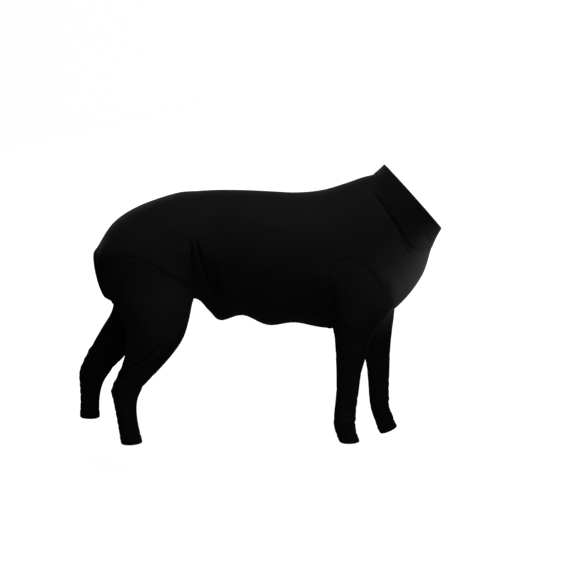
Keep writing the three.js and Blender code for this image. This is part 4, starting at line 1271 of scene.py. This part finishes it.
def cloth_material(name, colour, groups, roughness, loop_width, bump, specular):
    """Stretch jersey: matt, with a fine knit and a faint sheen at grazing angles"""
    material = bpy.data.materials.new(name)
    material.use_nodes = True
    tree = material.node_tree
    surface = tree.nodes["Principled BSDF"]
    surface.inputs["Roughness"].default_value = roughness
    surface.inputs["Specular IOR Level"].default_value = specular
    surface.inputs["Sheen Weight"].default_value = 0.06
    surface.inputs["Sheen Roughness"].default_value = 0.45
    knit = tree.nodes.new("ShaderNodeGroup")
    knit.node_tree = groups["knit"]
    knit.inputs["Loop Width"].default_value = loop_width
    place = tree.nodes.new("ShaderNodeUVMap")
    place.uv_map = "Knit"
    tree.links.new(place.outputs["UV"], knit.inputs["Place"])
    relief = tree.nodes.new("ShaderNodeBump")
    relief.inputs["Strength"].default_value = bump
    relief.inputs["Distance"].default_value = 0.0002
    tree.links.new(knit.outputs["Height"], relief.inputs["Height"])
    tree.links.new(relief.outputs["Normal"], surface.inputs["Normal"])
    tone_node = tree.nodes.new("ShaderNodeGroup")
    tone_node.node_tree = groups["colour"]
    tone_node.inputs["Color"].default_value = (*colour, 1)
    # painted shade: hollows and seams are darkened in the base colour
    shade = tree.nodes.new("ShaderNodeAttribute")
    shade.attribute_name = "shade"
    tree.links.new(shade.outputs["Fac"], tone_node.inputs["Shade"])
    tree.links.new(tone_node.outputs["Color"], surface.inputs["Base Color"])
    return material


def plain_material(name, colour, groups, roughness, metallic, specular):
    """Thread, moulded coil and painted metal: one colour with a faint change over it"""
    material = bpy.data.materials.new(name)
    material.use_nodes = True
    tree = material.node_tree
    surface = tree.nodes["Principled BSDF"]
    surface.inputs["Roughness"].default_value = roughness
    surface.inputs["Metallic"].default_value = metallic
    surface.inputs["Specular IOR Level"].default_value = specular
    tone_node = tree.nodes.new("ShaderNodeGroup")
    tone_node.node_tree = groups["colour"]
    tone_node.inputs["Color"].default_value = (*colour, 1)
    tree.links.new(tone_node.outputs["Color"], surface.inputs["Base Color"])
    return material


def make_materials():
    groups = {"knit": knit_group(), "colour": colour_group()}
    jersey = {"roughness": 0.78, "loop_width": 0.0011, "bump": 0.5, "specular": 0.35}
    tape = {"roughness": 0.7, "loop_width": 0.0008, "bump": 0.7, "specular": 0.4}
    moulded = {"metallic": 0, "specular": 0.5}
    painted = {"metallic": 1, "specular": 0.5}
    return {
        "jersey": cloth_material("Jersey", (0.011, 0.011, 0.012), groups, **jersey),
        "doubled_jersey": cloth_material("Doubled Jersey", (0.010, 0.010, 0.011), groups, **jersey),
        "zip_tape": cloth_material("Zip Tape", (0.016, 0.016, 0.017), groups, **tape),
        "thread": plain_material("Thread", (0.016, 0.016, 0.017), groups, 0.55, **moulded),
        "coil": plain_material("Zip Coil", (0.014, 0.014, 0.015), groups, 0.35, **moulded),
        "slider": plain_material("Zip Slider", (0.02, 0.02, 0.021), groups, 0.4, **painted),
    }


# The studio

FLOOR_FRONT = -4.5
FLOOR_BACK = 2.0
SWEEP_RADIUS = 1.5
SWEEP_STEPS = 12
SWEEP_TOP = 6.0
SWEEP_HALF = 7.0  # half its width
CAMERA_AT = (0.042, -3.0, 0.373)
CAMERA_TILT = 10.8  # degrees down
CAMERA_LENS = 93.75  # mm, with a sensor 36 mm wide


def make_sweep():
    """A pale floor that curves up into a backdrop"""
    profile = [(FLOOR_FRONT, GROUND), (FLOOR_BACK, GROUND)]
    for step in range(1, SWEEP_STEPS + 1):
        angle = math.pi / 2 * step / SWEEP_STEPS
        y = FLOOR_BACK + SWEEP_RADIUS * math.sin(angle)
        profile.append((y, GROUND + SWEEP_RADIUS * (1 - math.cos(angle))))
    profile.append((FLOOR_BACK + SWEEP_RADIUS, SWEEP_TOP))
    points = [(x, y, z) for y, z in profile for x in (-SWEEP_HALF, SWEEP_HALF)]
    faces = [(2 * i, 2 * i + 1, 2 * i + 3, 2 * i + 2) for i in range(len(profile) - 1)]
    material = bpy.data.materials.new("Backdrop")
    material.use_nodes = True
    tree = material.node_tree
    surface = tree.nodes["Principled BSDF"]
    surface.inputs["Roughness"].default_value = 0.95
    surface.inputs["Specular IOR Level"].default_value = 0.0
    surface.inputs["Emission Strength"].default_value = 1.0
    noise = tree.nodes.new("ShaderNodeTexNoise")
    noise.inputs["Scale"].default_value = 3
    mix = tree.nodes.new("ShaderNodeMix")
    mix.data_type = "RGBA"
    mix.inputs["A"].default_value = (0.93, 0.93, 0.93, 1)
    mix.inputs["B"].default_value = (0.95, 0.95, 0.95, 1)
    tree.links.new(noise.outputs["Fac"], mix.inputs["Factor"])
    tree.links.new(mix.outputs["Result"], surface.inputs["Base Color"])
    tree.links.new(mix.outputs["Result"], surface.inputs["Emission Color"])
    mesh = bpy.data.meshes.new("sweep")
    mesh.from_pydata(points, [], faces)
    mesh.shade_smooth()
    mesh.materials.append(material)
    sweep = bpy.data.objects.new("sweep", mesh)
    sweep.visible_diffuse = False
    sweep.visible_glossy = False
    bpy.context.scene.collection.objects.link(sweep)


def add_light(name, place, target, size, power, spread=180):
    """A round lamp turned towards its target, spread in degrees"""
    data = bpy.data.lights.new(name, "AREA")
    data.shape = "DISK"
    data.size = size
    data.energy = power
    data.spread = math.radians(spread)
    light = bpy.data.objects.new(name, data)
    light.location = place
    aim = np.array(target) - np.array(place)
    turn = math.atan2(aim[1], aim[0])
    fall = math.atan2(math.hypot(aim[0], aim[1]), -aim[2])
    light.rotation_euler = (fall, 0, turn - math.pi / 2)
    bpy.context.scene.collection.objects.link(light)


def light_room():
    world = bpy.data.worlds.new("Studio")
    world.use_nodes = True
    world.node_tree.nodes["Background"].inputs["Color"].default_value = (1, 1, 1, 1)
    world.node_tree.nodes["Background"].inputs["Strength"].default_value = 0.015
    bpy.context.scene.world = world
    add_light("Top", (0.45, -0.35, 2.15), (0.05, 0, -0.1), size=0.9, power=10.0)
    add_light("Chest", (3.0, -0.5, -0.35), (0.34, 0.01, -0.17), size=0.1, power=0.1, spread=5)
    add_light("Fill", (0.8, -2.9, -0.3), (0.05, 0, -0.3), size=1.8, power=10.0)
    add_light("Back", (-0.8, 2.8, 0.6), (0, 0, -0.25), size=1.8, power=13.0)


def add_camera():
    data = bpy.data.cameras.new("Camera")
    data.lens = CAMERA_LENS
    data.sensor_width = 36
    camera = bpy.data.objects.new("Camera", data)
    camera.location = CAMERA_AT
    camera.rotation_euler = (math.radians(90 - CAMERA_TILT), 0, 0)
    bpy.context.scene.collection.objects.link(camera)
    bpy.context.scene.camera = camera


def sew_suit():
    materials = make_materials()
    for panel in cut_panels(dressed_net()):
        cloth = sew_panel(panel, materials[panel.slot])
        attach(cloth, "root")
        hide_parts(panel.node)
        carried = []
        if panel.rows:
            carried.append(sew_stitches(panel, materials["thread"]))
        if panel.node == "belly_zip":
            coil, places = make_coil(panel, materials["coil"])
            carried += [coil, make_slider(places, materials["slider"])]
        for piece in carried:
            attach(piece, "root")
        cut_size(panel)


sew_suit()
make_sweep()
light_room()
add_camera()
bpy.context.scene.view_settings.view_transform = "Standard"
